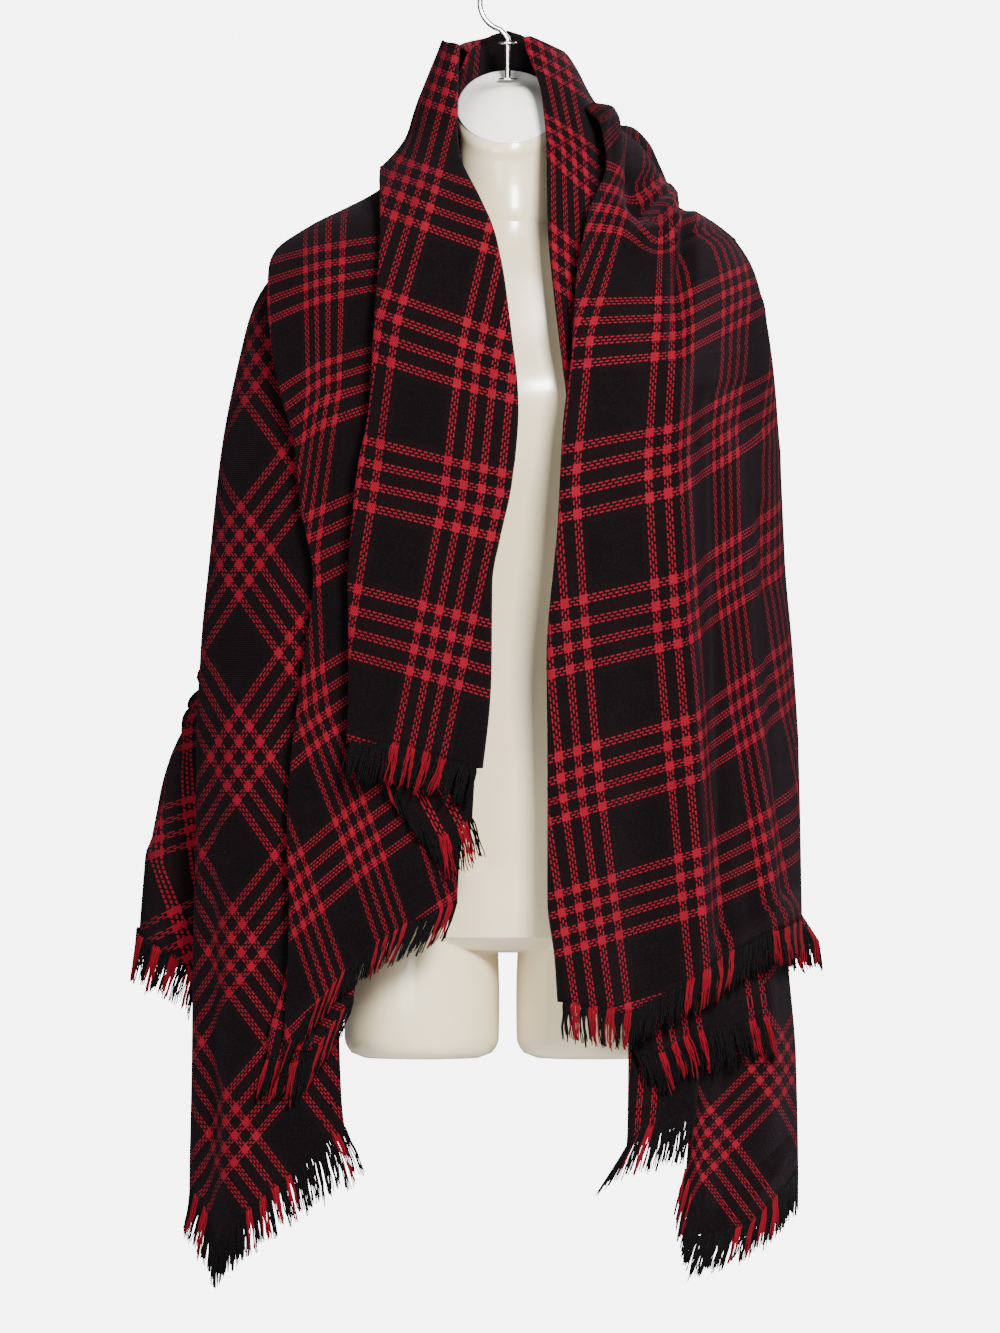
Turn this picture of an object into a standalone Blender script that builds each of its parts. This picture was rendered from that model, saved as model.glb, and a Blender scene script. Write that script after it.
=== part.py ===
"""Blanket scarf worn as a shawl on a limbless hanging dress form.

Metres, +Z up, the front towards -Y. The origin is the underside of the hook's top, on the form's upright
axis. The cloth is a stack of stretches. Each one lies on a common drape, whose level sections are ovals, at
its own lift from it. A place on the drape is a turn about the upright axis (0 the front, 90 degrees the right
side) and a height. A reach is how far out from the middle of the front a place lies. Past the half-width it
goes on round the back.
"""

import math

import bmesh
import bpy
import numpy as np

# Cloth.
WALL = 0.002
SEAM_GAP = 0.0003
FRINGE_GAP = 0.0008
FRINGE_LENGTH = 0.038
CELL = 0.036
ROLL_STEPS = 2
PROBE = 0.001

# Form and its hanger.
NECK_TILT = 0.72
NECK_TOP = -0.118
CROTCH = -0.873
STUB_BOTTOM = -0.972
STUB_OFFSET = 0.0775
STUB_BACK = 0.004
FORM_SIDES = 28
PIN_RADIUS = 0.0027
PIN_TOP = -0.060
WASHER_RADIUS = 0.0085
WASHER_THICK = 0.002
WASHER_EDGE = 0.0004
BASE_WASHER_Z = NECK_TOP + 0.0255
WIRE_RADIUS = 0.0025
HOOK_RADIUS = 0.025
HOOK_START = 196
HOOK_END = 434
HOOK_POINTS = 15
HOOK_SHANK = ((0.0, 0.0), (0.0, 0.003), (-0.003, 0.007))

CLOTH_RED = (0.20, 0.012, 0.02, 1.0)
FRINGE_RED = (0.34, 0.015, 0.03, 1.0)
FORM_CREAM = (0.82, 0.78, 0.70, 1.0)
METAL_GREY = (0.55, 0.55, 0.54, 1.0)

# The drape's level sections: z, half-width left, half-width right, depth in front, depth behind.
LEVELS = (
    (-0.050, 0.042, 0.028, 0.046, 0.060),
    (-0.065, 0.047, 0.037, 0.052, 0.066),
    (-0.103, 0.062, 0.059, 0.066, 0.076),
    (-0.129, 0.070, 0.078, 0.074, 0.081),
    (-0.155, 0.076, 0.099, 0.082, 0.085),
    (-0.183, 0.091, 0.111, 0.090, 0.088),
    (-0.205, 0.112, 0.123, 0.097, 0.092),
    (-0.225, 0.140, 0.148, 0.104, 0.096),
    (-0.243, 0.168, 0.181, 0.110, 0.101),
    (-0.267, 0.197, 0.209, 0.117, 0.108),
    (-0.300, 0.219, 0.225, 0.125, 0.114),
    (-0.335, 0.229, 0.227, 0.130, 0.119),
    (-0.425, 0.247, 0.227, 0.134, 0.123),
    (-0.524, 0.258, 0.230, 0.130, 0.123),
    (-0.605, 0.266, 0.237, 0.122, 0.125),
    (-0.695, 0.270, 0.243, 0.116, 0.130),
    (-0.785, 0.271, 0.247, 0.114, 0.134),
    (-0.875, 0.273, 0.251, 0.113, 0.136),
    (-0.974, 0.274, 0.259, 0.111, 0.130),
    (-1.091, 0.276, 0.261, 0.108, 0.122),
    (-1.210, 0.276, 0.261, 0.104, 0.116),
)

# Folds that every layer shares, in degrees: turn and z at the top, turn and z at the foot, half-width, then
# the height at the top and at the foot. A negative height is a trough.
FOLDS = (
    (39.0, -0.40, 43.0, -0.86, 6.0, 0.002, 0.007),
    (57.0, -0.42, 65.0, -0.82, 7.0, 0.002, 0.007),
    (-54.0, -0.45, -56.0, -1.05, 8.0, 0.001, 0.006),
    (-72.0, -0.50, -73.0, -1.08, 7.0, -0.001, -0.006),
    (116.0, -0.34, 112.0, -0.90, 8.0, 0.001, 0.014),
    (134.0, -0.40, 132.0, -0.90, 8.0, -0.001, -0.012),
    (151.0, -0.30, 150.0, -0.92, 8.0, 0.002, 0.018),
    (171.0, -0.28, 172.0, -0.92, 9.0, -0.003, -0.016),
    (192.0, -0.30, 194.0, -0.92, 8.0, 0.002, 0.016),
    (213.0, -0.38, 211.0, -0.90, 8.0, -0.002, -0.013),
    (228.0, -0.34, 231.0, -0.90, 8.0, 0.001, 0.014),
)

# Each stretch of cloth.
#   edges  z, inner reach, outer reach, lift at the inner edge, lift at the outer edge
#   top    where it starts, as reach and z; hem is where its fringe starts
#   rolls  roll radius, then how far the cloth goes back under itself at the inner and at the outer edge
#   dents  reach and z at one end, reach and z at the other, half-width, height at each end
# Some have more: edges_are_turns gives reaches in degrees, top_roll turns the top edge in, flares are folds
# that stand well out, extra_columns are shares where the grid is closer, and no_fringe ends under another.
STRETCHES = {
    "left_lapel": {
        "edges": (
            (-0.063, -0.052, -0.080, 0.014, 0.014),
            (-0.092, -0.053, -0.092, 0.014, 0.014),
            (-0.137, -0.053, -0.097, 0.016, 0.016),
            (-0.158, -0.052, -0.107, 0.020, 0.020),
            (-0.179, -0.048, -0.120, 0.026, 0.024),
            (-0.209, -0.036, -0.121, 0.036, 0.032),
            (-0.249, -0.018, -0.118, 0.042, 0.040),
            (-0.307, -0.006, -0.122, 0.046, 0.046),
            (-0.393, 0.004, -0.128, 0.046, 0.046),
            (-0.450, -0.001, -0.139, 0.046, 0.046),
            (-0.506, -0.014, -0.145, 0.046, 0.046),
            (-0.541, -0.021, -0.148, 0.046, 0.046),
            (-0.624, -0.022, -0.148, 0.046, 0.046),
            (-0.740, -0.034, -0.154, 0.046, 0.046),
        ),
        "top": ((-0.10, -0.062), (-0.065, -0.060), (-0.045, -0.068)),
        "hem": ((-0.151, -0.686), (-0.099, -0.688), (-0.061, -0.701), (-0.030, -0.709)),
        "rolls": (0.0045, 0.030, 0.030),
        "dents": (
            (-0.090, -0.220, -0.050, -0.420, 0.020, 0.001, 0.004),
            (-0.100, -0.320, -0.110, -0.600, 0.022, 0.004, 0.003),
        ),
    },
    "left_under": {
        "edges": (
            (-0.300, -0.012, -0.105, 0.032, 0.032),
            (-0.450, -0.010, -0.118, 0.032, 0.032),
            (-0.560, -0.020, -0.124, 0.032, 0.032),
            (-0.650, -0.027, -0.126, 0.032, 0.032),
            (-0.794, -0.036, -0.126, 0.032, 0.032),
        ),
        "top": ((-0.12, -0.300), (-0.01, -0.300)),
        "hem": ((-0.126, -0.700), (-0.098, -0.738), (-0.070, -0.774), (-0.034, -0.756)),
        "rolls": (0.003, 0.0, 0.0),
        "dents": (),
    },
    "left_front": {
        "edges": (
            (-0.190, -0.079, -0.120, 0.010, 0.010),
            (-0.213, -0.079, -0.150, 0.015, 0.015),
            (-0.240, -0.066, -0.200, 0.021, 0.021),
            (-0.278, -0.052, -0.219, 0.025, 0.025),
            (-0.336, -0.038, -0.214, 0.025, 0.025),
            (-0.379, -0.030, -0.206, 0.025, 0.025),
            (-0.421, -0.024, -0.194, 0.025, 0.025),
            (-0.474, -0.022, -0.189, 0.025, 0.025),
            (-0.540, -0.024, -0.177, 0.025, 0.025),
            (-0.609, -0.028, -0.185, 0.025, 0.025),
            (-0.667, -0.030, -0.194, 0.025, 0.025),
            (-0.725, -0.039, -0.200, 0.025, 0.025),
            (-0.781, -0.044, -0.202, 0.025, 0.025),
            (-0.827, -0.047, -0.200, 0.025, 0.025),
            (-0.965, -0.047, -0.205, 0.025, 0.025),
        ),
        "top": ((-0.13, -0.192), (-0.08, -0.192)),
        "hem": (
            (-0.205, -0.962),
            (-0.186, -0.929),
            (-0.169, -0.911),
            (-0.142, -0.879),
            (-0.102, -0.852),
            (-0.047, -0.830),
        ),
        "rolls": (0.003, 0.0, 0.020),
        "dents": (
            (-0.130, -0.330, -0.120, -0.560, 0.018, -0.001, -0.003),
            (-0.110, -0.700, -0.150, -0.880, 0.020, -0.001, -0.004),
        ),
    },
    "left_inner": {
        "edges": (
            (-0.720, -0.115, -0.178, 0.0165, 0.0165),
            (-0.800, -0.124, -0.190, 0.0165, 0.0165),
            (-0.900, -0.140, -0.204, 0.0165, 0.0165),
            (-0.950, -0.144, -0.218, 0.0165, 0.0165),
            (-1.020, -0.147, -0.221, 0.0165, 0.0165),
        ),
        "top": ((-0.20, -0.720), (-0.10, -0.720)),
        "hem": ((-0.219, -0.970), (-0.184, -0.974), (-0.147, -0.920)),
        "rolls": (0.003, 0.0, 0.0),
        "dents": (),
    },
    "left_side": {
        "edges": (
            (-0.200, -0.125, -0.140, 0.007, 0.007),
            (-0.236, -0.135, -0.190, 0.009, 0.009),
            (-0.285, -0.140, -0.232, 0.010, 0.010),
            (-0.335, -0.147, -0.252, 0.010, 0.010),
            (-0.425, -0.156, -0.272, 0.010, 0.010),
            (-0.605, -0.151, -0.278, 0.010, 0.010),
            (-0.875, -0.151, -0.284, 0.010, 0.010),
            (-0.941, -0.153, -0.285, 0.010, 0.010),
            (-1.005, -0.151, -0.286, 0.010, 0.010),
            (-1.091, -0.141, -0.287, 0.010, 0.010),
            (-1.190, -0.141, -0.287, 0.010, 0.010),
        ),
        "top": ((-0.15, -0.234), (-0.12, -0.234)),
        "hem": (
            (-0.287, -1.084),
            (-0.264, -1.138),
            (-0.220, -1.095),
            (-0.184, -1.060),
            (-0.141, -1.026),
        ),
        "rolls": (0.003, 0.0, 0.018),
        "dents": (
            (-0.230, -0.560, -0.200, -0.900, 0.024, -0.001, -0.004),
            (-0.262, -0.860, -0.245, -1.100, 0.016, 0.001, 0.004),
        ),
    },
    "back_drape": {
        "edges": (
            (-0.060, 80.0, 290.0, 0.0, 0.0),
            (-0.200, 68.0, 302.0, 0.0, 0.0),
            (-0.400, 72.0, 298.0, 0.0, 0.0),
            (-0.600, 80.0, 282.0, 0.0, 0.0),
            (-0.680, 86.0, 266.0, 0.0, 0.0),
            (-0.760, 90.0, 263.0, 0.0, 0.0),
            (-0.920, 93.0, 262.0, 0.0, 0.004),
        ),
        "edges_are_turns": True,
        "top": ((80.0, -0.068), (130.0, -0.056), (180.0, -0.050), (214.0, -0.056), (290.0, -0.068)),
        "hem": (
            (74.0, -0.852),
            (120.0, -0.862),
            (160.0, -0.842),
            (180.0, -0.836),
            (205.0, -0.842),
            (232.0, -0.868),
            (254.0, -0.860),
            (263.0, -0.902),
        ),
        "rolls": (0.003, 0.0, 0.0),
        "top_roll": (0.005, 0.110),
        "flares": (
            (252.0, -0.54, 254.0, -0.79, 5.0, 0.0, 0.083),
            (103.0, -0.81, 103.0, -0.87, 6.0, 0.0, 0.036),
        ),
        "extra_columns": (0.05, 0.925, 0.942, 0.960, 0.975),
        "dents": (),
    },
    "right_collar": {
        "edges": (
            (-0.060, 0.019, 0.060, 0.010, 0.010),
            (-0.110, 0.037, 0.090, 0.010, 0.010),
            (-0.155, 0.041, 0.100, 0.010, 0.010),
            (-0.236, 0.042, 0.105, 0.010, 0.010),
            (-0.290, 0.047, 0.105, 0.012, 0.012),
            (-0.353, 0.055, 0.100, 0.014, 0.014),
            (-0.420, 0.064, 0.095, 0.014, 0.014),
        ),
        "top": ((0.01, -0.056), (0.06, -0.076)),
        "hem": ((0.06, -0.410), (0.11, -0.410)),
        "rolls": (0.004, 0.020, 0.0),
        "dents": (),
        "no_fringe": True,
    },
    "right_lapel": {
        "edges": (
            (-0.128, 0.080, 0.110, 0.024, 0.018),
            (-0.140, 0.088, 0.126, 0.032, 0.022),
            (-0.152, 0.094, 0.142, 0.038, 0.025),
            (-0.185, 0.098, 0.160, 0.040, 0.023),
            (-0.209, 0.094, 0.178, 0.040, 0.019),
            (-0.234, 0.084, 0.200, 0.040, 0.018),
            (-0.282, 0.072, 0.226, 0.040, 0.017),
            (-0.350, 0.066, 0.238, 0.038, 0.016),
            (-0.409, 0.058, 0.243, 0.038, 0.017),
            (-0.495, 0.053, 0.250, 0.038, 0.018),
            (-0.609, 0.043, 0.257, 0.038, 0.018),
            (-0.696, 0.044, 0.261, 0.038, 0.018),
            (-0.827, 0.044, 0.264, 0.038, 0.018),
            (-0.880, 0.051, 0.265, 0.038, 0.018),
            (-0.960, 0.056, 0.266, 0.038, 0.018),
        ),
        "top": ((0.08, -0.128), (0.12, -0.138)),
        "hem": (
            (0.054, -0.917),
            (0.113, -0.928),
            (0.165, -0.902),
            (0.203, -0.879),
            (0.237, -0.858),
            (0.266, -0.848),
        ),
        "rolls": (0.0045, 0.030, 0.0),
        "dents": (
            (0.118, -0.140, 0.128, -0.225, 0.013, -0.016, -0.020),
            (0.145, -0.165, 0.152, -0.260, 0.014, 0.005, 0.008),
            (0.100, -0.150, 0.088, -0.300, 0.014, 0.006, 0.003),
            (0.105, -0.270, 0.140, -0.262, 0.018, 0.005, 0.005),
            (0.135, -0.300, 0.128, -0.420, 0.013, -0.006, -0.002),
        ),
    },
    "right_side": {
        "edges": (
            (-0.196, 0.119, 0.160, 0.006, 0.006),
            (-0.216, 0.122, 0.190, 0.006, 0.006),
            (-0.243, 0.126, 0.230, 0.006, 0.006),
            (-0.285, 0.130, 0.256, 0.006, 0.006),
            (-0.350, 0.137, 0.268, 0.006, 0.006),
            (-0.425, 0.170, 0.280, 0.006, 0.006),
            (-0.600, 0.190, 0.290, 0.006, 0.006),
            (-0.875, 0.195, 0.295, 0.006, 0.006),
        ),
        "top": ((0.11, -0.200), (0.16, -0.200)),
        "hem": ((0.190, -0.800), (0.300, -0.800)),
        "rolls": (0.003, 0.0, 0.0),
        "dents": (),
        "no_fringe": True,
    },
    "right_under": {
        "edges": (
            (-0.650, 0.064, 0.205, 0.016, 0.012),
            (-0.830, 0.083, 0.222, 0.016, 0.012),
            (-0.977, 0.119, 0.238, 0.016, 0.012),
        ),
        "top": ((0.06, -0.650), (0.21, -0.650)),
        "hem": ((0.110, -0.952), (0.140, -0.965), (0.164, -0.948), (0.214, -0.938), (0.237, -0.933)),
        "rolls": (0.003, 0.0, 0.0),
        "dents": ((0.170, -0.800, 0.190, -0.940, 0.014, -0.001, -0.002),),
    },
    "right_inner": {
        "edges": (
            (-0.704, 0.117, 0.178, 0.007, 0.006),
            (-0.830, 0.112, 0.175, 0.007, 0.006),
            (-0.948, 0.109, 0.173, 0.007, 0.006),
            (-1.032, 0.108, 0.168, 0.007, 0.006),
            (-1.120, 0.096, 0.168, 0.007, 0.006),
        ),
        "top": ((0.12, -0.704), (0.18, -0.704)),
        "hem": ((0.094, -1.066), (0.119, -1.034), (0.162, -1.016)),
        "rolls": (0.003, 0.0, 0.0),
        "dents": (),
    },
    "right_corner": {
        "edges": (
            (-0.800, 0.170, 0.236, -0.002, 0.0),
            (-0.900, 0.166, 0.260, -0.002, 0.0),
            (-0.974, 0.163, 0.264, -0.002, 0.0),
            (-1.091, 0.156, 0.264, -0.002, 0.0),
            (-1.180, 0.150, 0.264, -0.002, 0.0),
        ),
        "top": ((0.16, -0.800), (0.26, -0.800)),
        "hem": ((0.158, -1.070), (0.168, -1.130), (0.214, -1.119), (0.260, -1.074)),
        "rolls": (0.003, 0.0, 0.0),
        "dents": ((0.205, -0.900, 0.215, -1.100, 0.016, 0.001, 0.004),),
    },
}

# The form's neck: middle y, z, radius, and how steeply its ring leans up towards the back.
NECK = (
    (-0.019, NECK_TOP + 0.020, 0.010, 0.0),
    (-0.019, NECK_TOP + 0.014, 0.026, 0.55 * NECK_TILT),
    (-0.019, NECK_TOP, 0.044, NECK_TILT),
    (-0.019, NECK_TOP - 0.008, 0.0455, NECK_TILT),
    (-0.018, -0.170, 0.0445, 0.30),
    (-0.018, -0.205, 0.0455, 0.10),
)
# The form: z, half-width, depth in front, depth behind.
TORSO = (
    (-0.222, 0.049, 0.066, 0.030),
    (-0.236, 0.066, 0.068, 0.040),
    (-0.250, 0.110, 0.074, 0.056),
    (-0.266, 0.150, 0.080, 0.068),
    (-0.290, 0.178, 0.086, 0.078),
    (-0.325, 0.188, 0.094, 0.084),
    (-0.380, 0.168, 0.110, 0.086),
    (-0.430, 0.152, 0.108, 0.084),
    (-0.500, 0.128, 0.092, 0.078),
    (-0.596, 0.112, 0.078, 0.070),
    (-0.680, 0.126, 0.080, 0.084),
    (-0.760, 0.145, 0.084, 0.098),
    (-0.830, 0.153, 0.084, 0.100),
    (-0.866, 0.150, 0.080, 0.092),
    (CROTCH, 0.130, 0.062, 0.076),
    (CROTCH - 0.004, 0.060, 0.026, 0.034),
)
STUB = (
    (-0.800, 0.060, 0.070, 0.080),
    (-0.860, 0.068, 0.076, 0.084),
    (-0.920, 0.0700, 0.076, 0.082),
    (-0.955, 0.0695, 0.074, 0.080),
    (-0.967, 0.064, 0.068, 0.074),
    (STUB_BOTTOM, 0.052, 0.056, 0.062),
)


def clear_scene():
    for obj in list(bpy.data.objects):
        bpy.data.objects.remove(obj)


def material(name, colour, roughness, metallic):
    made = bpy.data.materials.new(name)
    made.use_nodes = True
    shader = made.node_tree.nodes["Principled BSDF"]
    shader.inputs["Base Color"].default_value = colour
    shader.inputs["Roughness"].default_value = roughness
    shader.inputs["Metallic"].default_value = metallic
    return made


def add_object(name, mesh, look):
    obj = bpy.data.objects.new(name, mesh)
    obj.data.materials.append(look)
    bpy.context.scene.collection.objects.link(obj)
    return obj


def read_smooth(table, z):
    """The table's columns at heights z, on smooth curves through its rows that never overshoot them."""
    rows = np.array(table, float)
    depths = -rows[:, 0]
    values = rows[:, 1:]
    steps = np.diff(depths)[:, None]
    rates = np.diff(values, axis=0) / steps
    product = rates[:-1] * rates[1:]
    total = np.where(product > 0, rates[:-1] + rates[1:], 1.0)
    slopes = np.concatenate((rates[:1], np.where(product > 0, 2 * product / total, 0.0), rates[-1:]))
    at = np.clip(-np.asarray(z, float), depths[0], depths[-1])
    row = np.clip(np.searchsorted(depths, at, side="right") - 1, 0, len(depths) - 2)
    step = steps[row]
    f = (at - depths[row])[..., None] / step
    start = values[row] * (1 + 2 * f) * (1 - f) ** 2 + slopes[row] * step * f * (1 - f) ** 2
    end = values[row + 1] * f * f * (3 - 2 * f) + slopes[row + 1] * step * f * f * (f - 1)
    return np.moveaxis(start + end, -1, 0)


def oval(turn, z):
    """Points of the plain drape, before its folds."""
    left, right, front, back = read_smooth(LEVELS, z)
    side = np.sin(turn)
    ahead = np.cos(turn)
    wide = np.where(side < 0, left, right)
    deep = np.where(ahead > 0, front, back)
    return np.stack((wide * side, -deep * ahead, z), axis=-1)


def fold_height(fold, turn, z):
    top_turn, top_z, foot_turn, foot_z, half_width, top_height, foot_height = fold
    share = np.clip((z - top_z) / (foot_z - top_z), 0, 1)
    middle = top_turn + (foot_turn - top_turn) * share
    away = (np.degrees(turn) - middle + 180) % 360 - 180
    rise = np.where(z > top_z, np.exp(-(((z - top_z) / 0.06) ** 2)), 1.0)
    return (top_height + (foot_height - top_height) * share) * np.exp(-((away / half_width) ** 2)) * rise


def drape_point(turn, z, lift):
    """Points at a lift from the drape, with the folds that every layer shares."""
    across = oval(turn + PROBE, z) - oval(turn - PROBE, z)
    down = oval(turn, z - PROBE) - oval(turn, z + PROBE)
    normal = np.cross(down, across)
    normal /= np.linalg.norm(normal, axis=-1, keepdims=True)
    height = lift + sum(fold_height(fold, turn, z) for fold in FOLDS)
    return oval(turn, z) + normal * height[..., None]


def half_width(reach, z, lift):
    left, right, _, _ = read_smooth(LEVELS, z)
    return np.where(reach < 0, left, right) + lift


def turn_of(reach, z, lift):
    share = np.abs(reach) / half_width(reach, z, lift)
    front = np.arcsin(np.clip(share, 0, 1))
    behind = np.arcsin(np.clip(share - 1, 0, 1))
    return np.sign(reach) * (front + behind)


def reach_of(turn, z, lift):
    half = half_width(turn, z, lift)
    front = np.sin(np.clip(np.abs(turn), 0, math.pi / 2))
    behind = np.sin(np.clip(np.abs(turn) - math.pi / 2, 0, math.pi / 2))
    return np.sign(turn) * half * (front + behind)


def edge_turns(stretch, z):
    inner, outer, lift_in, lift_out = read_smooth(stretch["edges"], z)
    if stretch.get("edges_are_turns"):
        return np.radians(inner), np.radians(outer), lift_in, lift_out
    return turn_of(inner, z, lift_in), turn_of(outer, z, lift_out), lift_in, lift_out


def limit_z(stretch, outline, share):
    """The height of the top or the hem at each share across, read from its outline of reach and z."""
    table = np.array(sorted(outline))
    z = np.full(share.shape, table[:, 1].mean())
    for _ in range(4):
        inner, outer, lift_in, lift_out = edge_turns(stretch, z)
        turn = inner + (outer - inner) * share
        lift = lift_in + (lift_out - lift_in) * share
        place = np.degrees(turn) if stretch.get("edges_are_turns") else reach_of(turn, z, lift)
        z = np.interp(place, table[:, 0], table[:, 1])
    return z


def dent_height(dents, reach, z):
    """Small creases that are a stretch's own: each is soft, and follows a straight line."""
    total = np.zeros(np.shape(z))
    for reach_a, z_a, reach_b, z_b, half, height_a, height_b in dents:
        run = np.array((reach_b - reach_a, z_b - z_a))
        share = ((reach - reach_a) * run[0] + (z - z_a) * run[1]) / run.dot(run)
        share = np.clip(share, 0, 1)
        away = np.hypot(reach - reach_a - run[0] * share, z - z_a - run[1] * share)
        total = total + (height_a + (height_b - height_a) * share) * np.exp(-((away / half) ** 2))
    return total


def roll_steps(radius, under, steps):
    """The way round a rolled edge, from the cloth tucked back under it: shift inwards and sink."""
    if not under:
        return []
    angles = [math.pi * (steps - i) / steps for i in range(steps)]
    tucked = [(under, 2 * radius)] + [(under / 2, 2 * radius)]
    return tucked + [(-radius * math.sin(a), radius * (1 - math.cos(a))) for a in angles]


def columns_of(stretch, count, steps):
    """The columns of a stretch: share across, shift from the edge in metres, and sink below the surface."""
    radius, under_in, under_out = stretch["rolls"]
    inner = [(0.0, shift, sink) for shift, sink in roll_steps(radius, under_in, steps)]
    shares = sorted({i / count for i in range(count + 1)} | set(stretch.get("extra_columns", ())))
    flat = [(share, 0.0, 0.0) for share in shares]
    outer = [(1.0, -shift, sink) for shift, sink in reversed(roll_steps(radius, under_out, steps))]
    return inner + flat + outer


def rows_of(stretch, count, steps):
    """The rows of a stretch: share down, rise above the top in metres, and sink below the surface."""
    radius, under = stretch.get("top_roll", (0.0, 0.0))
    rolled = [(0.0, -shift, sink) for shift, sink in roll_steps(radius, under, steps)]
    inside = []
    if under:
        pieces = max(2, round(under / CELL))
        inside = [(0.0, -under * (1 - i / pieces), 2 * radius) for i in range(pieces)]
        rolled = rolled[2:]
    return inside + rolled + [((i / count) ** 1.25, 0.0, 0.0) for i in range(count + 1)]


def place(stretch, columns, rows, drop=(0.0, 0.0)):
    """A stretch's points on a grid of columns and rows. With a drop, the rows hang from the hem."""
    share, shift, sink = (np.array(values)[None, :] for values in zip(*columns))
    down, rise, row_sink = (np.array(values)[:, None] for values in zip(*rows))
    top = limit_z(stretch, stretch["top"], share)
    hem = limit_z(stretch, stretch["hem"], share)
    if any(drop):
        z = hem - drop[0] - (drop[1] - drop[0]) * down
    else:
        z = top + (hem - top) * down + rise
    inner, outer, lift_in, lift_out = edge_turns(stretch, z)
    turn = inner + (outer - inner) * share
    lift = lift_in + (lift_out - lift_in) * share
    pace = np.linalg.norm(oval(turn + PROBE, z) - oval(turn - PROBE, z), axis=-1) / (2 * PROBE)
    turn = turn + np.sign(outer - inner) * shift / pace
    lift = lift + dent_height(stretch["dents"], reach_of(turn, z, lift), z) - sink - row_sink
    lift = lift + sum(fold_height(flare, turn, z) for flare in stretch.get("flares", ()))
    return drape_point(turn, z, lift)


def grid_object(name, points, look):
    """A closed cloth wall on a grid of points, facing away from the wearer."""
    rows, columns = points.shape[:2]
    mesh = bpy.data.meshes.new(name)
    bm = bmesh.new()
    bmesh.ops.create_grid(bm, x_segments=columns - 1, y_segments=rows - 1, size=0.5)
    for vert in bm.verts:
        column = round((vert.co.x + 0.5) * (columns - 1))
        row = round((0.5 - vert.co.y) * (rows - 1))
        vert.co = points[row, column]
    bmesh.ops.triangulate(bm, faces=bm.faces[:], quad_method="SHORT_EDGE", ngon_method="BEAUTY")
    bm.to_mesh(mesh)
    bm.free()
    mesh.shade_smooth()
    obj = add_object(name, mesh, look)
    wall = obj.modifiers.new("wall", "SOLIDIFY")
    wall.thickness = WALL
    wall.offset = 0.0
    return obj


def cloth_size(points):
    """How wide and how long a grid of points is, along its middle lines."""
    middles = (points[len(points) // 2], points[:, points.shape[1] // 2])
    return tuple(np.linalg.norm(np.diff(line, axis=0), axis=1).sum() for line in middles)


def cloth_stretch(name, stretch, looks):
    draft = place(stretch, columns_of(stretch, 12, 2), rows_of(stretch, 12, 2))
    wide, long = cloth_size(draft)
    columns = columns_of(stretch, max(3, round(wide / CELL)), ROLL_STEPS)
    rows = rows_of(stretch, max(4, round(long / CELL)), ROLL_STEPS)
    grid_object(name, place(stretch, columns, rows), looks["cloth"])
    if not stretch.get("no_fringe"):
        strip_rows = [(0.0, 0.0, 0.0), (1.0, 0.0, 0.0)]
        drop = (FRINGE_GAP, FRINGE_LENGTH)
        grid_object(name + "_fringe", place(stretch, columns, strip_rows, drop), looks["fringe"])


def loft(name, sections, look):
    """A closed body through sections, each a list of points at the same angles."""
    sides = len(sections[0])
    bm = bmesh.new()
    rings = []
    for section in sections:
        verts = [bm.verts.new(point) for point in section]
        rings.append([bm.edges.new((verts[i], verts[(i + 1) % sides])) for i in range(sides)])
    for upper, lower in zip(rings, rings[1:]):
        bmesh.ops.bridge_loops(bm, edges=upper + lower)
    bmesh.ops.holes_fill(bm, edges=bm.edges, sides=sides)
    bmesh.ops.recalc_face_normals(bm, faces=bm.faces)
    mesh = bpy.data.meshes.new(name)
    bm.to_mesh(mesh)
    bm.free()
    mesh.shade_smooth()
    return add_object(name, mesh, look)


def ring(middle, half_wide, front, back, lean=0.0, sides=FORM_SIDES):
    """A level oval, or one that leans: its back stands higher than its front."""
    points = []
    for i in range(sides):
        angle = 2 * math.pi * i / sides
        x = half_wide * math.sin(angle)
        y = -math.cos(angle) * (front if math.cos(angle) > 0 else back)
        points.append((middle[0] + x, middle[1] + y, middle[2] + lean * y))
    return points


def dress_form(look):
    neck = [ring((0, y, z), radius, radius, radius, lean) for y, z, radius, lean in NECK]
    body = [ring((0, 0, z), wide, front, back) for z, wide, front, back in TORSO]
    form = loft("dress_form", neck + body, look)
    for side in (-1, 1):
        middle = side * STUB_OFFSET
        sections = [ring((middle, STUB_BACK, z), wide, front, back) for z, wide, front, back in STUB]
        stub = loft("stub_" + ("left" if side < 0 else "right"), sections, look)
        stub.hide_render = True
        stub.display_type = "WIRE"
        union = form.modifiers.new(stub.name, "BOOLEAN")
        union.operation = "UNION"
        union.object = stub
    return form


def turned(name, outline, look, sides=24):
    """A solid turned about the upright axis from its outline of radius and height, top to bottom."""
    sections = [ring((0, 0, z), radius, radius, radius, sides=sides) for radius, z in outline]
    return loft(name, sections, look)


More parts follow.
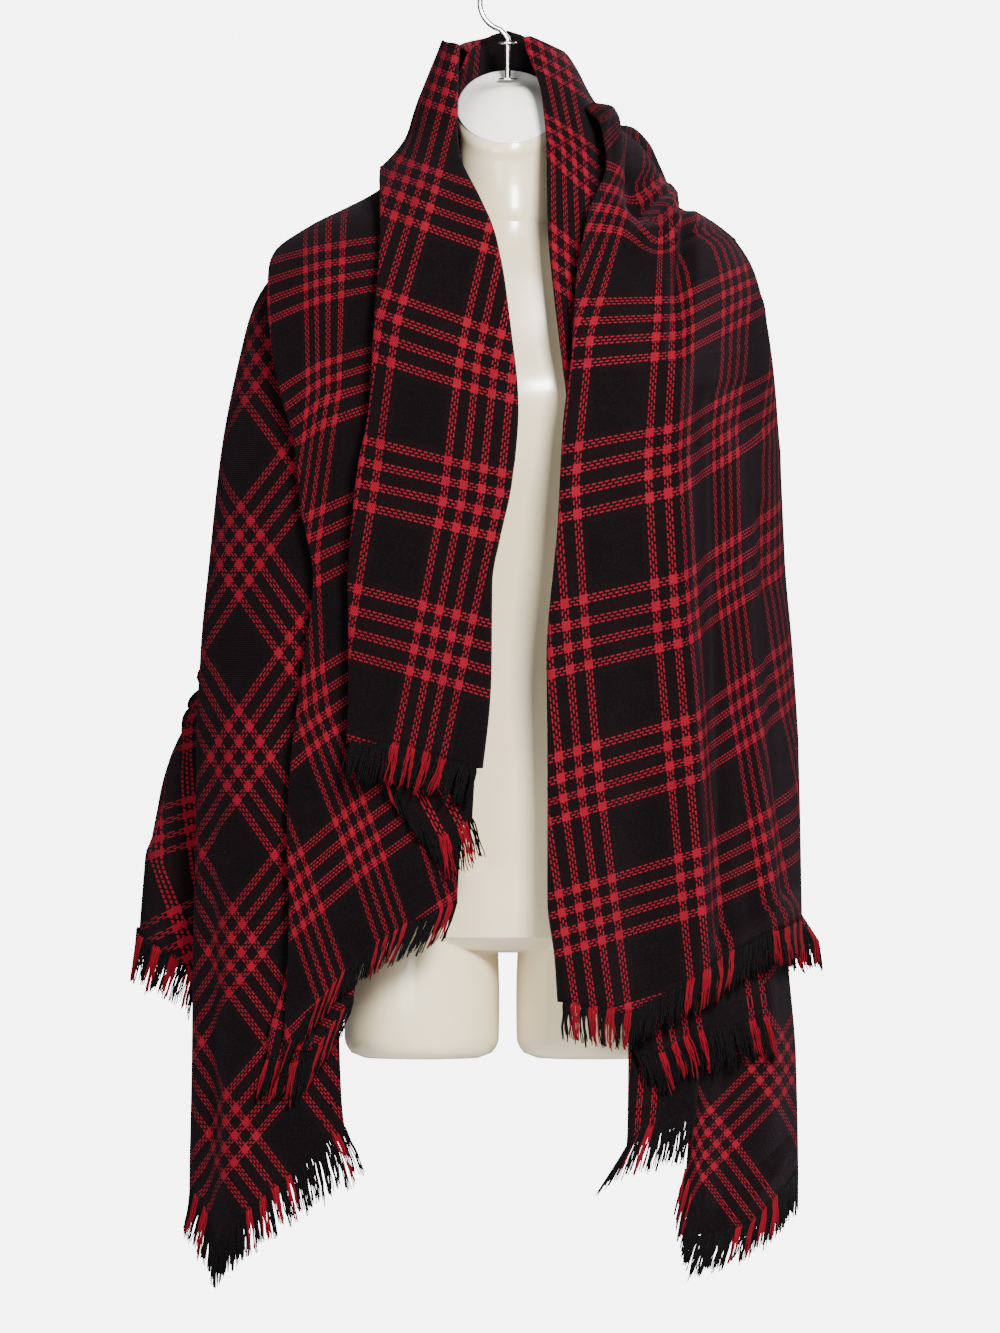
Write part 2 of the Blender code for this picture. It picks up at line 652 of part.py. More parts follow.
def hanger(look):
    for name, low in (("base_washer", BASE_WASHER_Z), ("pin_washer", PIN_TOP)):
        outline = (
            (WASHER_RADIUS - WASHER_EDGE, low + WASHER_THICK),
            (WASHER_RADIUS, low + WASHER_THICK - WASHER_EDGE),
            (WASHER_RADIUS, low + WASHER_EDGE),
            (WASHER_RADIUS - WASHER_EDGE, low),
        )
        turned(name, outline, look)
    pin_bottom = BASE_WASHER_Z + WASHER_THICK + SEAM_GAP
    turned("hanger_pin", ((PIN_RADIUS, PIN_TOP - SEAM_GAP), (PIN_RADIUS, pin_bottom)), look, 16)
    curve = bpy.data.curves.new("hook", "CURVE")
    curve.dimensions = "3D"
    curve.bevel_depth = WIRE_RADIUS
    curve.bevel_resolution = 3
    curve.use_fill_caps = True
    start = PIN_TOP + WASHER_THICK + SEAM_GAP
    points = [(x, 0, start + rise) for x, rise in HOOK_SHANK]
    for i in range(HOOK_POINTS):
        angle = math.radians(HOOK_START + (HOOK_END - HOOK_START) * i / (HOOK_POINTS - 1))
        z = WIRE_RADIUS - HOOK_RADIUS + HOOK_RADIUS * math.cos(angle)
        points.append((HOOK_RADIUS * math.sin(angle), 0, z))
    spline = curve.splines.new("POLY")
    spline.points.add(len(points) - 1)
    for point, co in zip(spline.points, points):
        point.co = (*co, 1)
    hook = bpy.data.objects.new("swan_neck_hook", curve)
    curve.materials.append(look)
    bpy.context.scene.collection.objects.link(hook)


def main():
    clear_scene()
    looks = {
        "cloth": material("plaid_cloth", CLOTH_RED, 0.85, 0.0),
        "fringe": material("plaid_fringe", FRINGE_RED, 0.85, 0.0),
        "form": material("form_plastic", FORM_CREAM, 0.28, 0.0),
        "metal": material("hanger_metal", METAL_GREY, 0.3, 1.0),
    }
    for name, stretch in STRETCHES.items():
        cloth_stretch(name, stretch, looks)
    dress_form(looks["form"])
    hanger(looks["metal"])


main()
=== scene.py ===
"""The look of a blanket scarf worn as a shawl on a limbless hanging dress form.

Metres, +Z up, the front towards -Y, in the CAD's own frame. The cloth's stretches lie on the CAD's drape:
a place is a turn about the upright axis and a height, and a reach is how far out from the middle of the
front it lies.
"""

import math

import bmesh
import bpy
import numpy as np
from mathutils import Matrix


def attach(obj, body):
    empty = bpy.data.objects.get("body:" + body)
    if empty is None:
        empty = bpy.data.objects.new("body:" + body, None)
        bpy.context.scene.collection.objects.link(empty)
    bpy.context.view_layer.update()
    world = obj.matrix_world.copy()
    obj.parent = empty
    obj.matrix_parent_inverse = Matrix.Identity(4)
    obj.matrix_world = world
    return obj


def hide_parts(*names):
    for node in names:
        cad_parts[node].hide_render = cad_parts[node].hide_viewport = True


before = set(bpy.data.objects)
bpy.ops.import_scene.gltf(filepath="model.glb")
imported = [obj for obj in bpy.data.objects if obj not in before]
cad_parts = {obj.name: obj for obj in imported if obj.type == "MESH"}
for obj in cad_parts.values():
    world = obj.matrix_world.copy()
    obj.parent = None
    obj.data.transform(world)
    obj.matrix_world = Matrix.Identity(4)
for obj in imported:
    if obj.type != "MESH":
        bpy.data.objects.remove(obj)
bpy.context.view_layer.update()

# Cloth: its wall, its grid's cells, and the steps that a curved surface is measured over.
THICKNESS = 0.0016
CELL = 0.0055
FEWEST_CELLS = 8
DRAFT_CELLS = 12
DRAFT_ROLL_STEPS = 2
ROLL_STEPS = 6
TOP_SPACING = 1.25
FOLD_START = 0.06
PROBE = 0.001
LEAST_FACING = 0.55

# Fringe: its yarn ends, spaced along the hem with a little play.
FRINGE_LENGTH = 0.037
FRINGE_OVERLAP = 0.002
RIM_STEPS = 60
RIM_DROP = 0.0001
STRAND_PITCH = 0.00075
STRAND_PLAY = (0.1, 0.9)
STRAND_RADIUS = 0.00085
STRAND_SIDES = 4
STRAND_RINGS = 7
STRAND_TIP = 0.55
SHORTEST_STRAND = 0.80

# The bundles that the yarn ends gather in: how wide, how far aside, how much of the length each keeps, and
# how closely its ends draw in.
BUNDLE_WIDTH = (0.0042, 0.0062)
BUNDLE_ASIDE = 0.0026
BUNDLE_WAVE = 2.4
BUNDLE_LENGTH = 0.92
BUNDLE_LENGTH_SPREAD = 0.10
BUNDLE_LENGTH_WAVES = (3.7, 1.3)
BUNDLE_DRAW = (0.20, 0.75)
DRAW_BEND = 1.4

# How the yarn ends stray along the hem and in and out. A sway is a pace along the hem, a start and a width.
SWAYS_ALONG = ((61.0, 0.0, 0.003), (23.0, 1.3, 0.004))
SWAY_BEND = 1.6
STRAY_ALONG = 0.0011
CURL = 0.0006
CURL_PACE = (5, 11)
FULL_TURN = (0, 6)
STRAY_OUT = 0.0009
STRAY_AT_HEM = 0.4
BOW = 0.0012
BOW_PACE = 7

# The check, in metres.
REPEAT = 0.129
STRIPE_PITCH = 0.019
STRIPE_HALF = 0.0042
FLOAT_PITCH = 0.0028
FLOAT_REPEAT = 0.0064
FLOAT_SHARE = 0.66
FLOAT_STAGGER = 0.5
FLOAT_SLANT = 0.22
YARN_PITCH = 0.00133
YARN_WIDTH = 0.50
FRINGE_STRIPE = 1.1

# How high the weave stands, for its bump: its twill, its crosswise yarns, its red yarns and its fluff.
TWILL_RISE = 0.5
YARN_RISE = 0.25
RED_RISE = 0.4
FLUFF_RISE = 0.35
WEAVE_BUMP = 0.0006
WEAVE_BUMP_STRENGTH = 0.8
FRINGE_BUMP = 0.0003

# The wool's unevenness: the scales of its noises, then how its shade runs from its darkest.
FLUFF_SCALE = 900.0
PATCH_SCALE = 60.0
LINT_SHARPNESS = 3.0
PATCH_DARKEST = 0.75
PATCH_SPREAD = 0.5
CLOTH_LINT = 0.25
FRINGE_LINT = 0.3

# Colours.
RED = (0.160, 0.0040, 0.0115, 1.0)
BLACK = (0.0018, 0.0013, 0.0013, 1.0)
GROUP_GROUND = (0.0034, 0.0014, 0.0014, 1.0)
LINT = (0.035, 0.026, 0.030, 1.0)
FRINGE_RED = (0.125, 0.0020, 0.0070, 1.0)
FRINGE_BLACK = (0.0014, 0.0011, 0.0012, 1.0)
FORM_CREAM = (0.71, 0.60, 0.39, 1.0)
# The cap is the form's own cream painted lighter: a painted highlight on its up-facing top, where the light
# falls.
CAP_CREAM_PAINTED_HIGHLIGHT = (0.94, 0.91, 0.85, 1.0)
STEEL = (0.60, 0.60, 0.60, 1.0)
FLOOR_DARK = (0.86, 0.86, 0.87, 1.0)
FLOOR_LIGHT = (0.90, 0.90, 0.91, 1.0)
ROOM = (0.95, 0.96, 1.0, 1.0)
PLASTIC_PATCH = 0.94

# Studio. A lamp is a name, where it stands, what it aims at, its size and its power.
FLOOR_Z = -1.34
FLOOR_RADIUS = 0.9
FLOOR_SIDES = 96
ROOM_STRENGTH = 0.24
BACKDROP_STRENGTH = 8.0
LAMPS = (
    ("key", (0.9, -3.1, 0.8), (0, 0, -0.6), (0.8, 0.8), 380),
    ("fill", (-1.4, -3.0, -0.4), (0, 0, -0.7), (1.4, 1.4), 80),
    ("rim", (1.4, 2.4, 1.0), (0, 0, -0.5), (1.4, 1.4), 70),
)
VIEW_DISTANCE = 10.0
VIEW_HEIGHT = 1.2
VIEW_CENTRE = (-0.007, -0.620)
VIEW_END = 100
FILM_WIDTH = 36

# Form and its hanger.
NECK_TILT = 0.72
NECK_TOP = -0.118
CROTCH = -0.873
STUB_BOTTOM = -0.972
STUB_OFFSET = 0.0775
STUB_BACK = 0.004
FORM_SIDES = 72
TORSO_RINGS = 60
STUB_RINGS = 40
NECK_STEPS = 6
CAP_STEPS = 5
SHARP_ANGLE = 40
TURNED_SIDES = 48
PIN_RADIUS = 0.0027
PIN_TOP = -0.060
PIN_INTO_TOP = 0.0005
PIN_INTO_BASE = 0.001
WASHER_THICK = 0.002
WASHER_EDGE = 0.0005
BASE_WASHER_Z = NECK_TOP + 0.0255
WASHER_RADIUS = 0.0085
WIRE_RADIUS = 0.0025
WIRE_ROUNDNESS = 5
HOOK_RADIUS = 0.025
HOOK_START = 196
HOOK_END = 434
HOOK_POINTS = 57
HOOK_SHANK = ((0.0, 0.0), (0.0, 0.003), (-0.003, 0.007))
SEAM_GAP = 0.0003

# The drape's level sections: z, half-width left, half-width right, depth in front, depth behind.
LEVELS = (
    (-0.050, 0.042, 0.028, 0.046, 0.060),
    (-0.065, 0.047, 0.037, 0.052, 0.066),
    (-0.103, 0.062, 0.059, 0.066, 0.076),
    (-0.129, 0.070, 0.078, 0.074, 0.081),
    (-0.155, 0.076, 0.099, 0.082, 0.085),
    (-0.183, 0.091, 0.111, 0.090, 0.088),
    (-0.205, 0.112, 0.123, 0.097, 0.092),
    (-0.225, 0.140, 0.148, 0.104, 0.096),
    (-0.243, 0.168, 0.181, 0.110, 0.101),
    (-0.267, 0.197, 0.209, 0.117, 0.108),
    (-0.300, 0.219, 0.225, 0.125, 0.114),
    (-0.335, 0.229, 0.227, 0.130, 0.119),
    (-0.425, 0.247, 0.227, 0.134, 0.123),
    (-0.524, 0.258, 0.230, 0.130, 0.123),
    (-0.605, 0.266, 0.237, 0.122, 0.125),
    (-0.695, 0.270, 0.243, 0.116, 0.130),
    (-0.785, 0.271, 0.247, 0.114, 0.134),
    (-0.875, 0.273, 0.251, 0.113, 0.136),
    (-0.974, 0.274, 0.259, 0.111, 0.130),
    (-1.091, 0.276, 0.261, 0.108, 0.122),
    (-1.210, 0.276, 0.261, 0.104, 0.116),
)

# Folds that every layer shares, in degrees: turn and z at the top, turn and z at the foot, half-width, then
# the height at the top and at the foot. A negative height is a trough.
FOLDS = (
    (39.0, -0.40, 43.0, -0.86, 6.0, 0.002, 0.007),
    (57.0, -0.42, 65.0, -0.82, 7.0, 0.002, 0.007),
    (-54.0, -0.45, -56.0, -1.05, 8.0, 0.001, 0.006),
    (-72.0, -0.50, -73.0, -1.08, 7.0, -0.001, -0.006),
    (116.0, -0.34, 112.0, -0.90, 8.0, 0.001, 0.014),
    (134.0, -0.40, 132.0, -0.90, 8.0, -0.001, -0.012),
    (151.0, -0.30, 150.0, -0.92, 8.0, 0.002, 0.018),
    (171.0, -0.28, 172.0, -0.92, 9.0, -0.003, -0.016),
    (192.0, -0.30, 194.0, -0.92, 8.0, 0.002, 0.016),
    (213.0, -0.38, 211.0, -0.90, 8.0, -0.002, -0.013),
    (228.0, -0.34, 231.0, -0.90, 8.0, 0.001, 0.014),
)

# Each stretch of cloth.
#   edges  z, inner reach, outer reach, lift at the inner edge, lift at the outer edge
#   top    where it starts, as reach and z; hem is where its fringe starts
#   rolls  roll radius, then how far the cloth goes back under itself at the inner and at the outer edge
#   dents  reach and z at one end, reach and z at the other, half-width, height at each end
# Some have more: edges_are_turns gives reaches in degrees, top_roll turns the top edge in, flares are folds
# that stand well out, extra_columns are shares where the grid is closer, and no_fringe ends under another.
STRETCHES = {
    "left_lapel": {
        "edges": (
            (-0.063, -0.052, -0.080, 0.014, 0.014),
            (-0.092, -0.053, -0.092, 0.014, 0.014),
            (-0.137, -0.053, -0.097, 0.016, 0.016),
            (-0.158, -0.052, -0.107, 0.020, 0.020),
            (-0.179, -0.048, -0.120, 0.026, 0.024),
            (-0.209, -0.036, -0.121, 0.036, 0.032),
            (-0.249, -0.018, -0.118, 0.042, 0.040),
            (-0.307, -0.006, -0.122, 0.046, 0.046),
            (-0.393, 0.004, -0.128, 0.046, 0.046),
            (-0.450, -0.001, -0.139, 0.046, 0.046),
            (-0.506, -0.014, -0.145, 0.046, 0.046),
            (-0.541, -0.021, -0.148, 0.046, 0.046),
            (-0.624, -0.022, -0.148, 0.046, 0.046),
            (-0.740, -0.034, -0.154, 0.046, 0.046),
        ),
        "top": ((-0.10, -0.062), (-0.065, -0.060), (-0.045, -0.068)),
        "hem": ((-0.151, -0.686), (-0.099, -0.688), (-0.061, -0.701), (-0.030, -0.709)),
        "rolls": (0.0045, 0.030, 0.030),
        "dents": (
            (-0.090, -0.220, -0.050, -0.420, 0.020, 0.001, 0.004),
            (-0.100, -0.320, -0.110, -0.600, 0.022, 0.004, 0.003),
        ),
    },
    "left_under": {
        "edges": (
            (-0.300, -0.012, -0.105, 0.032, 0.032),
            (-0.450, -0.010, -0.118, 0.032, 0.032),
            (-0.560, -0.020, -0.124, 0.032, 0.032),
            (-0.650, -0.027, -0.126, 0.032, 0.032),
            (-0.794, -0.036, -0.126, 0.032, 0.032),
        ),
        "top": ((-0.12, -0.300), (-0.01, -0.300)),
        "hem": ((-0.126, -0.700), (-0.098, -0.738), (-0.070, -0.774), (-0.034, -0.756)),
        "rolls": (0.003, 0.0, 0.0),
        "dents": (),
    },
    "left_front": {
        "edges": (
            (-0.190, -0.079, -0.120, 0.010, 0.010),
            (-0.213, -0.079, -0.150, 0.015, 0.015),
            (-0.240, -0.066, -0.200, 0.021, 0.021),
            (-0.278, -0.052, -0.219, 0.025, 0.025),
            (-0.336, -0.038, -0.214, 0.025, 0.025),
            (-0.379, -0.030, -0.206, 0.025, 0.025),
            (-0.421, -0.024, -0.194, 0.025, 0.025),
            (-0.474, -0.022, -0.189, 0.025, 0.025),
            (-0.540, -0.024, -0.177, 0.025, 0.025),
            (-0.609, -0.028, -0.185, 0.025, 0.025),
            (-0.667, -0.030, -0.194, 0.025, 0.025),
            (-0.725, -0.039, -0.200, 0.025, 0.025),
            (-0.781, -0.044, -0.202, 0.025, 0.025),
            (-0.827, -0.047, -0.200, 0.025, 0.025),
            (-0.965, -0.047, -0.205, 0.025, 0.025),
        ),
        "top": ((-0.13, -0.192), (-0.08, -0.192)),
        "hem": (
            (-0.205, -0.962),
            (-0.186, -0.929),
            (-0.169, -0.911),
            (-0.142, -0.879),
            (-0.102, -0.852),
            (-0.047, -0.830),
        ),
        "rolls": (0.003, 0.0, 0.020),
        "dents": (
            (-0.130, -0.330, -0.120, -0.560, 0.018, -0.001, -0.003),
            (-0.110, -0.700, -0.150, -0.880, 0.020, -0.001, -0.004),
        ),
    },
    "left_inner": {
        "edges": (
            (-0.720, -0.115, -0.178, 0.0165, 0.0165),
            (-0.800, -0.124, -0.190, 0.0165, 0.0165),
            (-0.900, -0.140, -0.204, 0.0165, 0.0165),
            (-0.950, -0.144, -0.218, 0.0165, 0.0165),
            (-1.020, -0.147, -0.221, 0.0165, 0.0165),
        ),
        "top": ((-0.20, -0.720), (-0.10, -0.720)),
        "hem": ((-0.219, -0.970), (-0.184, -0.974), (-0.147, -0.920)),
        "rolls": (0.003, 0.0, 0.0),
        "dents": (),
    },
    "left_side": {
        "edges": (
            (-0.200, -0.125, -0.140, 0.007, 0.007),
            (-0.236, -0.135, -0.190, 0.009, 0.009),
            (-0.285, -0.140, -0.232, 0.010, 0.010),
            (-0.335, -0.147, -0.252, 0.010, 0.010),
            (-0.425, -0.156, -0.272, 0.010, 0.010),
            (-0.605, -0.151, -0.278, 0.010, 0.010),
            (-0.875, -0.151, -0.284, 0.010, 0.010),
            (-0.941, -0.153, -0.285, 0.010, 0.010),
            (-1.005, -0.151, -0.286, 0.010, 0.010),
            (-1.091, -0.141, -0.287, 0.010, 0.010),
            (-1.190, -0.141, -0.287, 0.010, 0.010),
        ),
        "top": ((-0.15, -0.234), (-0.12, -0.234)),
        "hem": (
            (-0.287, -1.084),
            (-0.264, -1.138),
            (-0.220, -1.095),
            (-0.184, -1.060),
            (-0.141, -1.026),
        ),
        "rolls": (0.003, 0.0, 0.018),
        "dents": (
            (-0.230, -0.560, -0.200, -0.900, 0.024, -0.001, -0.004),
            (-0.262, -0.860, -0.245, -1.100, 0.016, 0.001, 0.004),
        ),
    },
    "back_drape": {
        "edges": (
            (-0.060, 80.0, 290.0, 0.0, 0.0),
            (-0.200, 68.0, 302.0, 0.0, 0.0),
            (-0.400, 72.0, 298.0, 0.0, 0.0),
            (-0.600, 80.0, 282.0, 0.0, 0.0),
            (-0.680, 86.0, 266.0, 0.0, 0.0),
            (-0.760, 90.0, 263.0, 0.0, 0.0),
            (-0.920, 93.0, 262.0, 0.0, 0.004),
        ),
        "edges_are_turns": True,
        "top": ((80.0, -0.068), (130.0, -0.056), (180.0, -0.050), (214.0, -0.056), (290.0, -0.068)),
        "hem": (
            (74.0, -0.852),
            (120.0, -0.862),
            (160.0, -0.842),
            (180.0, -0.836),
            (205.0, -0.842),
            (232.0, -0.868),
            (254.0, -0.860),
            (263.0, -0.902),
        ),
        "rolls": (0.003, 0.0, 0.0),
        "top_roll": (0.005, 0.110),
        "flares": (
            (252.0, -0.54, 254.0, -0.79, 5.0, 0.0, 0.083),
            (103.0, -0.81, 103.0, -0.87, 6.0, 0.0, 0.036),
        ),
        "extra_columns": (0.05, 0.925, 0.942, 0.960, 0.975),
        "dents": (),
    },
    "right_collar": {
        "edges": (
            (-0.060, 0.019, 0.060, 0.010, 0.010),
            (-0.110, 0.037, 0.090, 0.010, 0.010),
            (-0.155, 0.041, 0.100, 0.010, 0.010),
            (-0.236, 0.042, 0.105, 0.010, 0.010),
            (-0.290, 0.047, 0.105, 0.012, 0.012),
            (-0.353, 0.055, 0.100, 0.014, 0.014),
            (-0.420, 0.064, 0.095, 0.014, 0.014),
        ),
        "top": ((0.01, -0.056), (0.06, -0.076)),
        "hem": ((0.06, -0.410), (0.11, -0.410)),
        "rolls": (0.004, 0.020, 0.0),
        "dents": (),
        "no_fringe": True,
    },
    "right_lapel": {
        "edges": (
            (-0.128, 0.080, 0.110, 0.024, 0.018),
            (-0.140, 0.088, 0.126, 0.032, 0.022),
            (-0.152, 0.094, 0.142, 0.038, 0.025),
            (-0.185, 0.098, 0.160, 0.040, 0.023),
            (-0.209, 0.094, 0.178, 0.040, 0.019),
            (-0.234, 0.084, 0.200, 0.040, 0.018),
            (-0.282, 0.072, 0.226, 0.040, 0.017),
            (-0.350, 0.066, 0.238, 0.038, 0.016),
            (-0.409, 0.058, 0.243, 0.038, 0.017),
            (-0.495, 0.053, 0.250, 0.038, 0.018),
            (-0.609, 0.043, 0.257, 0.038, 0.018),
            (-0.696, 0.044, 0.261, 0.038, 0.018),
            (-0.827, 0.044, 0.264, 0.038, 0.018),
            (-0.880, 0.051, 0.265, 0.038, 0.018),
            (-0.960, 0.056, 0.266, 0.038, 0.018),
        ),
        "top": ((0.08, -0.128), (0.12, -0.138)),
        "hem": (
            (0.054, -0.917),
            (0.113, -0.928),
            (0.165, -0.902),
            (0.203, -0.879),
            (0.237, -0.858),
            (0.266, -0.848),
        ),
        "rolls": (0.0045, 0.030, 0.0),
        "dents": (
            (0.118, -0.140, 0.128, -0.225, 0.013, -0.016, -0.020),
            (0.145, -0.165, 0.152, -0.260, 0.014, 0.005, 0.008),
            (0.100, -0.150, 0.088, -0.300, 0.014, 0.006, 0.003),
            (0.105, -0.270, 0.140, -0.262, 0.018, 0.005, 0.005),
            (0.135, -0.300, 0.128, -0.420, 0.013, -0.006, -0.002),
        ),
    },
    "right_side": {
        "edges": (
            (-0.196, 0.119, 0.160, 0.006, 0.006),
            (-0.216, 0.122, 0.190, 0.006, 0.006),
            (-0.243, 0.126, 0.230, 0.006, 0.006),
            (-0.285, 0.130, 0.256, 0.006, 0.006),
            (-0.350, 0.137, 0.268, 0.006, 0.006),
            (-0.425, 0.170, 0.280, 0.006, 0.006),
            (-0.600, 0.190, 0.290, 0.006, 0.006),
            (-0.875, 0.195, 0.295, 0.006, 0.006),
        ),
        "top": ((0.11, -0.200), (0.16, -0.200)),
        "hem": ((0.190, -0.800), (0.300, -0.800)),
        "rolls": (0.003, 0.0, 0.0),
        "dents": (),
        "no_fringe": True,
    },
    "right_under": {
        "edges": (
            (-0.650, 0.064, 0.205, 0.016, 0.012),
            (-0.830, 0.083, 0.222, 0.016, 0.012),
            (-0.977, 0.119, 0.238, 0.016, 0.012),
        ),
        "top": ((0.06, -0.650), (0.21, -0.650)),
        "hem": ((0.110, -0.952), (0.140, -0.965), (0.164, -0.948), (0.214, -0.938), (0.237, -0.933)),
        "rolls": (0.003, 0.0, 0.0),
        "dents": ((0.170, -0.800, 0.190, -0.940, 0.014, -0.001, -0.002),),
    },
    "right_inner": {
        "edges": (
            (-0.704, 0.117, 0.178, 0.007, 0.006),
            (-0.830, 0.112, 0.175, 0.007, 0.006),
            (-0.948, 0.109, 0.173, 0.007, 0.006),
            (-1.032, 0.108, 0.168, 0.007, 0.006),
            (-1.120, 0.096, 0.168, 0.007, 0.006),
        ),
        "top": ((0.12, -0.704), (0.18, -0.704)),
        "hem": ((0.094, -1.066), (0.119, -1.034), (0.162, -1.016)),
        "rolls": (0.003, 0.0, 0.0),
        "dents": (),
    },
    "right_corner": {
        "edges": (
            (-0.800, 0.170, 0.236, -0.002, 0.0),
            (-0.900, 0.166, 0.260, -0.002, 0.0),
            (-0.974, 0.163, 0.264, -0.002, 0.0),
            (-1.091, 0.156, 0.264, -0.002, 0.0),
            (-1.180, 0.150, 0.264, -0.002, 0.0),
        ),
        "top": ((0.16, -0.800), (0.26, -0.800)),
        "hem": ((0.158, -1.070), (0.168, -1.130), (0.214, -1.119), (0.260, -1.074)),
        "rolls": (0.003, 0.0, 0.0),
        "dents": ((0.205, -0.900, 0.215, -1.100, 0.016, 0.001, 0.004),),
    },
}

# The form's neck, then its cap: middle y, z, radius, and how steeply a ring leans up towards the back.
NECK_COLUMN = (
    (-0.019, NECK_TOP - 0.0015, 0.0452, NECK_TILT),
    (-0.019, NECK_TOP - 0.010, 0.0455, NECK_TILT),
    (-0.018, -0.150, 0.0438, 0.45),
    (-0.018, -0.180, 0.0438, 0.22),
    (-0.018, -0.208, 0.0462, 0.08),
    (-0.018, -0.226, 0.0450, 0.0),
    (-0.018, -0.240, 0.0400, 0.0),
)
NECK_CAP = (
    (-0.019, NECK_TOP + 0.020, 0.006, 0.0),
    (-0.019, NECK_TOP + 0.018, 0.018, 0.35 * NECK_TILT),
    (-0.019, NECK_TOP + 0.012, 0.032, 0.72 * NECK_TILT),
    (-0.019, NECK_TOP + 0.005, 0.0425, NECK_TILT),
    (-0.019, NECK_TOP + 0.001, 0.0457, NECK_TILT),
    (-0.019, NECK_TOP - 0.001, 0.0457, NECK_TILT),
)

# The form, then one of its thigh stubs: z, half-width, depth in front, depth behind.
TORSO = (
    (-0.222, 0.049, 0.066, 0.030),
    (-0.236, 0.066, 0.068, 0.040),
    (-0.250, 0.110, 0.074, 0.056),
    (-0.266, 0.150, 0.080, 0.068),
    (-0.290, 0.178, 0.086, 0.078),
    (-0.325, 0.188, 0.094, 0.084),
    (-0.380, 0.168, 0.110, 0.086),
    (-0.430, 0.152, 0.108, 0.084),
    (-0.500, 0.128, 0.092, 0.078),
    (-0.596, 0.112, 0.078, 0.070),
    (-0.680, 0.126, 0.080, 0.084),
    (-0.760, 0.145, 0.084, 0.098),
    (-0.830, 0.153, 0.084, 0.100),
    (-0.866, 0.150, 0.080, 0.092),
    (CROTCH, 0.130, 0.062, 0.076),
    (CROTCH - 0.004, 0.060, 0.026, 0.034),
)
STUB = (
    (-0.800, 0.060, 0.070, 0.080),
    (-0.860, 0.068, 0.076, 0.084),
    (-0.920, 0.0700, 0.076, 0.082),
    (-0.955, 0.0695, 0.074, 0.080),
    (-0.967, 0.064, 0.068, 0.074),
    (STUB_BOTTOM, 0.052, 0.056, 0.062),
)


def read_smooth(table, z):
    """The table's columns at heights z, on smooth curves through its rows that never overshoot them."""
    rows = np.array(table, float)
    depths = -rows[:, 0]
    values = rows[:, 1:]
    steps = np.diff(depths)[:, None]
    rates = np.diff(values, axis=0) / steps
    product = rates[:-1] * rates[1:]
    total = np.where(product > 0, rates[:-1] + rates[1:], 1.0)
    slopes = np.concatenate((rates[:1], np.where(product > 0, 2 * product / total, 0.0), rates[-1:]))
    at = np.clip(-np.asarray(z, float), depths[0], depths[-1])
    row = np.clip(np.searchsorted(depths, at, side="right") - 1, 0, len(depths) - 2)
    step = steps[row]
    f = (at - depths[row])[..., None] / step
    start = values[row] * (1 + 2 * f) * (1 - f) ** 2 + slopes[row] * step * f * (1 - f) ** 2
    end = values[row + 1] * f * f * (3 - 2 * f) + slopes[row + 1] * step * f * f * (f - 1)
    return np.moveaxis(start + end, -1, 0)


def oval(turn, z):
    """Points of the plain drape, before its folds."""
    left, right, front, back = read_smooth(LEVELS, z)
    side = np.sin(turn)
    ahead = np.cos(turn)
    wide = np.where(side < 0, left, right)
    deep = np.where(ahead > 0, front, back)
    return np.stack((wide * side, -deep * ahead, z), axis=-1)


def fold_height(fold, turn, z):
    top_turn, top_z, foot_turn, foot_z, half_width, top_height, foot_height = fold
    share = np.clip((z - top_z) / (foot_z - top_z), 0, 1)
    middle = top_turn + (foot_turn - top_turn) * share
    away = (np.degrees(turn) - middle + 180) % 360 - 180
    rise = np.where(z > top_z, np.exp(-(((z - top_z) / FOLD_START) ** 2)), 1.0)
    return (top_height + (foot_height - top_height) * share) * np.exp(-((away / half_width) ** 2)) * rise


def drape_point(turn, z, lift):
    """Points at a lift from the drape, with the folds that every layer shares."""
    across = oval(turn + PROBE, z) - oval(turn - PROBE, z)
    down = oval(turn, z - PROBE) - oval(turn, z + PROBE)
    normal = np.cross(down, across)
    normal /= np.linalg.norm(normal, axis=-1, keepdims=True)
    height = lift + sum(fold_height(fold, turn, z) for fold in FOLDS)
    return oval(turn, z) + normal * height[..., None]


def half_width(reach, z, lift):
    left, right, _, _ = read_smooth(LEVELS, z)
    return np.where(reach < 0, left, right) + lift


def turn_of(reach, z, lift):
    share = np.abs(reach) / half_width(reach, z, lift)
    front = np.arcsin(np.clip(share, 0, 1))
    behind = np.arcsin(np.clip(share - 1, 0, 1))
    return np.sign(reach) * (front + behind)


def reach_of(turn, z, lift):
    half = half_width(turn, z, lift)
    front = np.sin(np.clip(np.abs(turn), 0, math.pi / 2))
    behind = np.sin(np.clip(np.abs(turn) - math.pi / 2, 0, math.pi / 2))
    return np.sign(turn) * half * (front + behind)


def edge_turns(stretch, z):
    inner, outer, lift_in, lift_out = read_smooth(stretch["edges"], z)
    if stretch.get("edges_are_turns"):
        return np.radians(inner), np.radians(outer), lift_in, lift_out
    return turn_of(inner, z, lift_in), turn_of(outer, z, lift_out), lift_in, lift_out


def limit_z(stretch, outline, share):
    """The height of the top or the hem at each share across, read from its outline of reach and z."""
    table = np.array(sorted(outline))
    z = np.full(share.shape, table[:, 1].mean())
    for _ in range(4):
        inner, outer, lift_in, lift_out = edge_turns(stretch, z)
        turn = inner + (outer - inner) * share
        lift = lift_in + (lift_out - lift_in) * share
        place = np.degrees(turn) if stretch.get("edges_are_turns") else reach_of(turn, z, lift)
        z = np.interp(place, table[:, 0], table[:, 1])
    return z


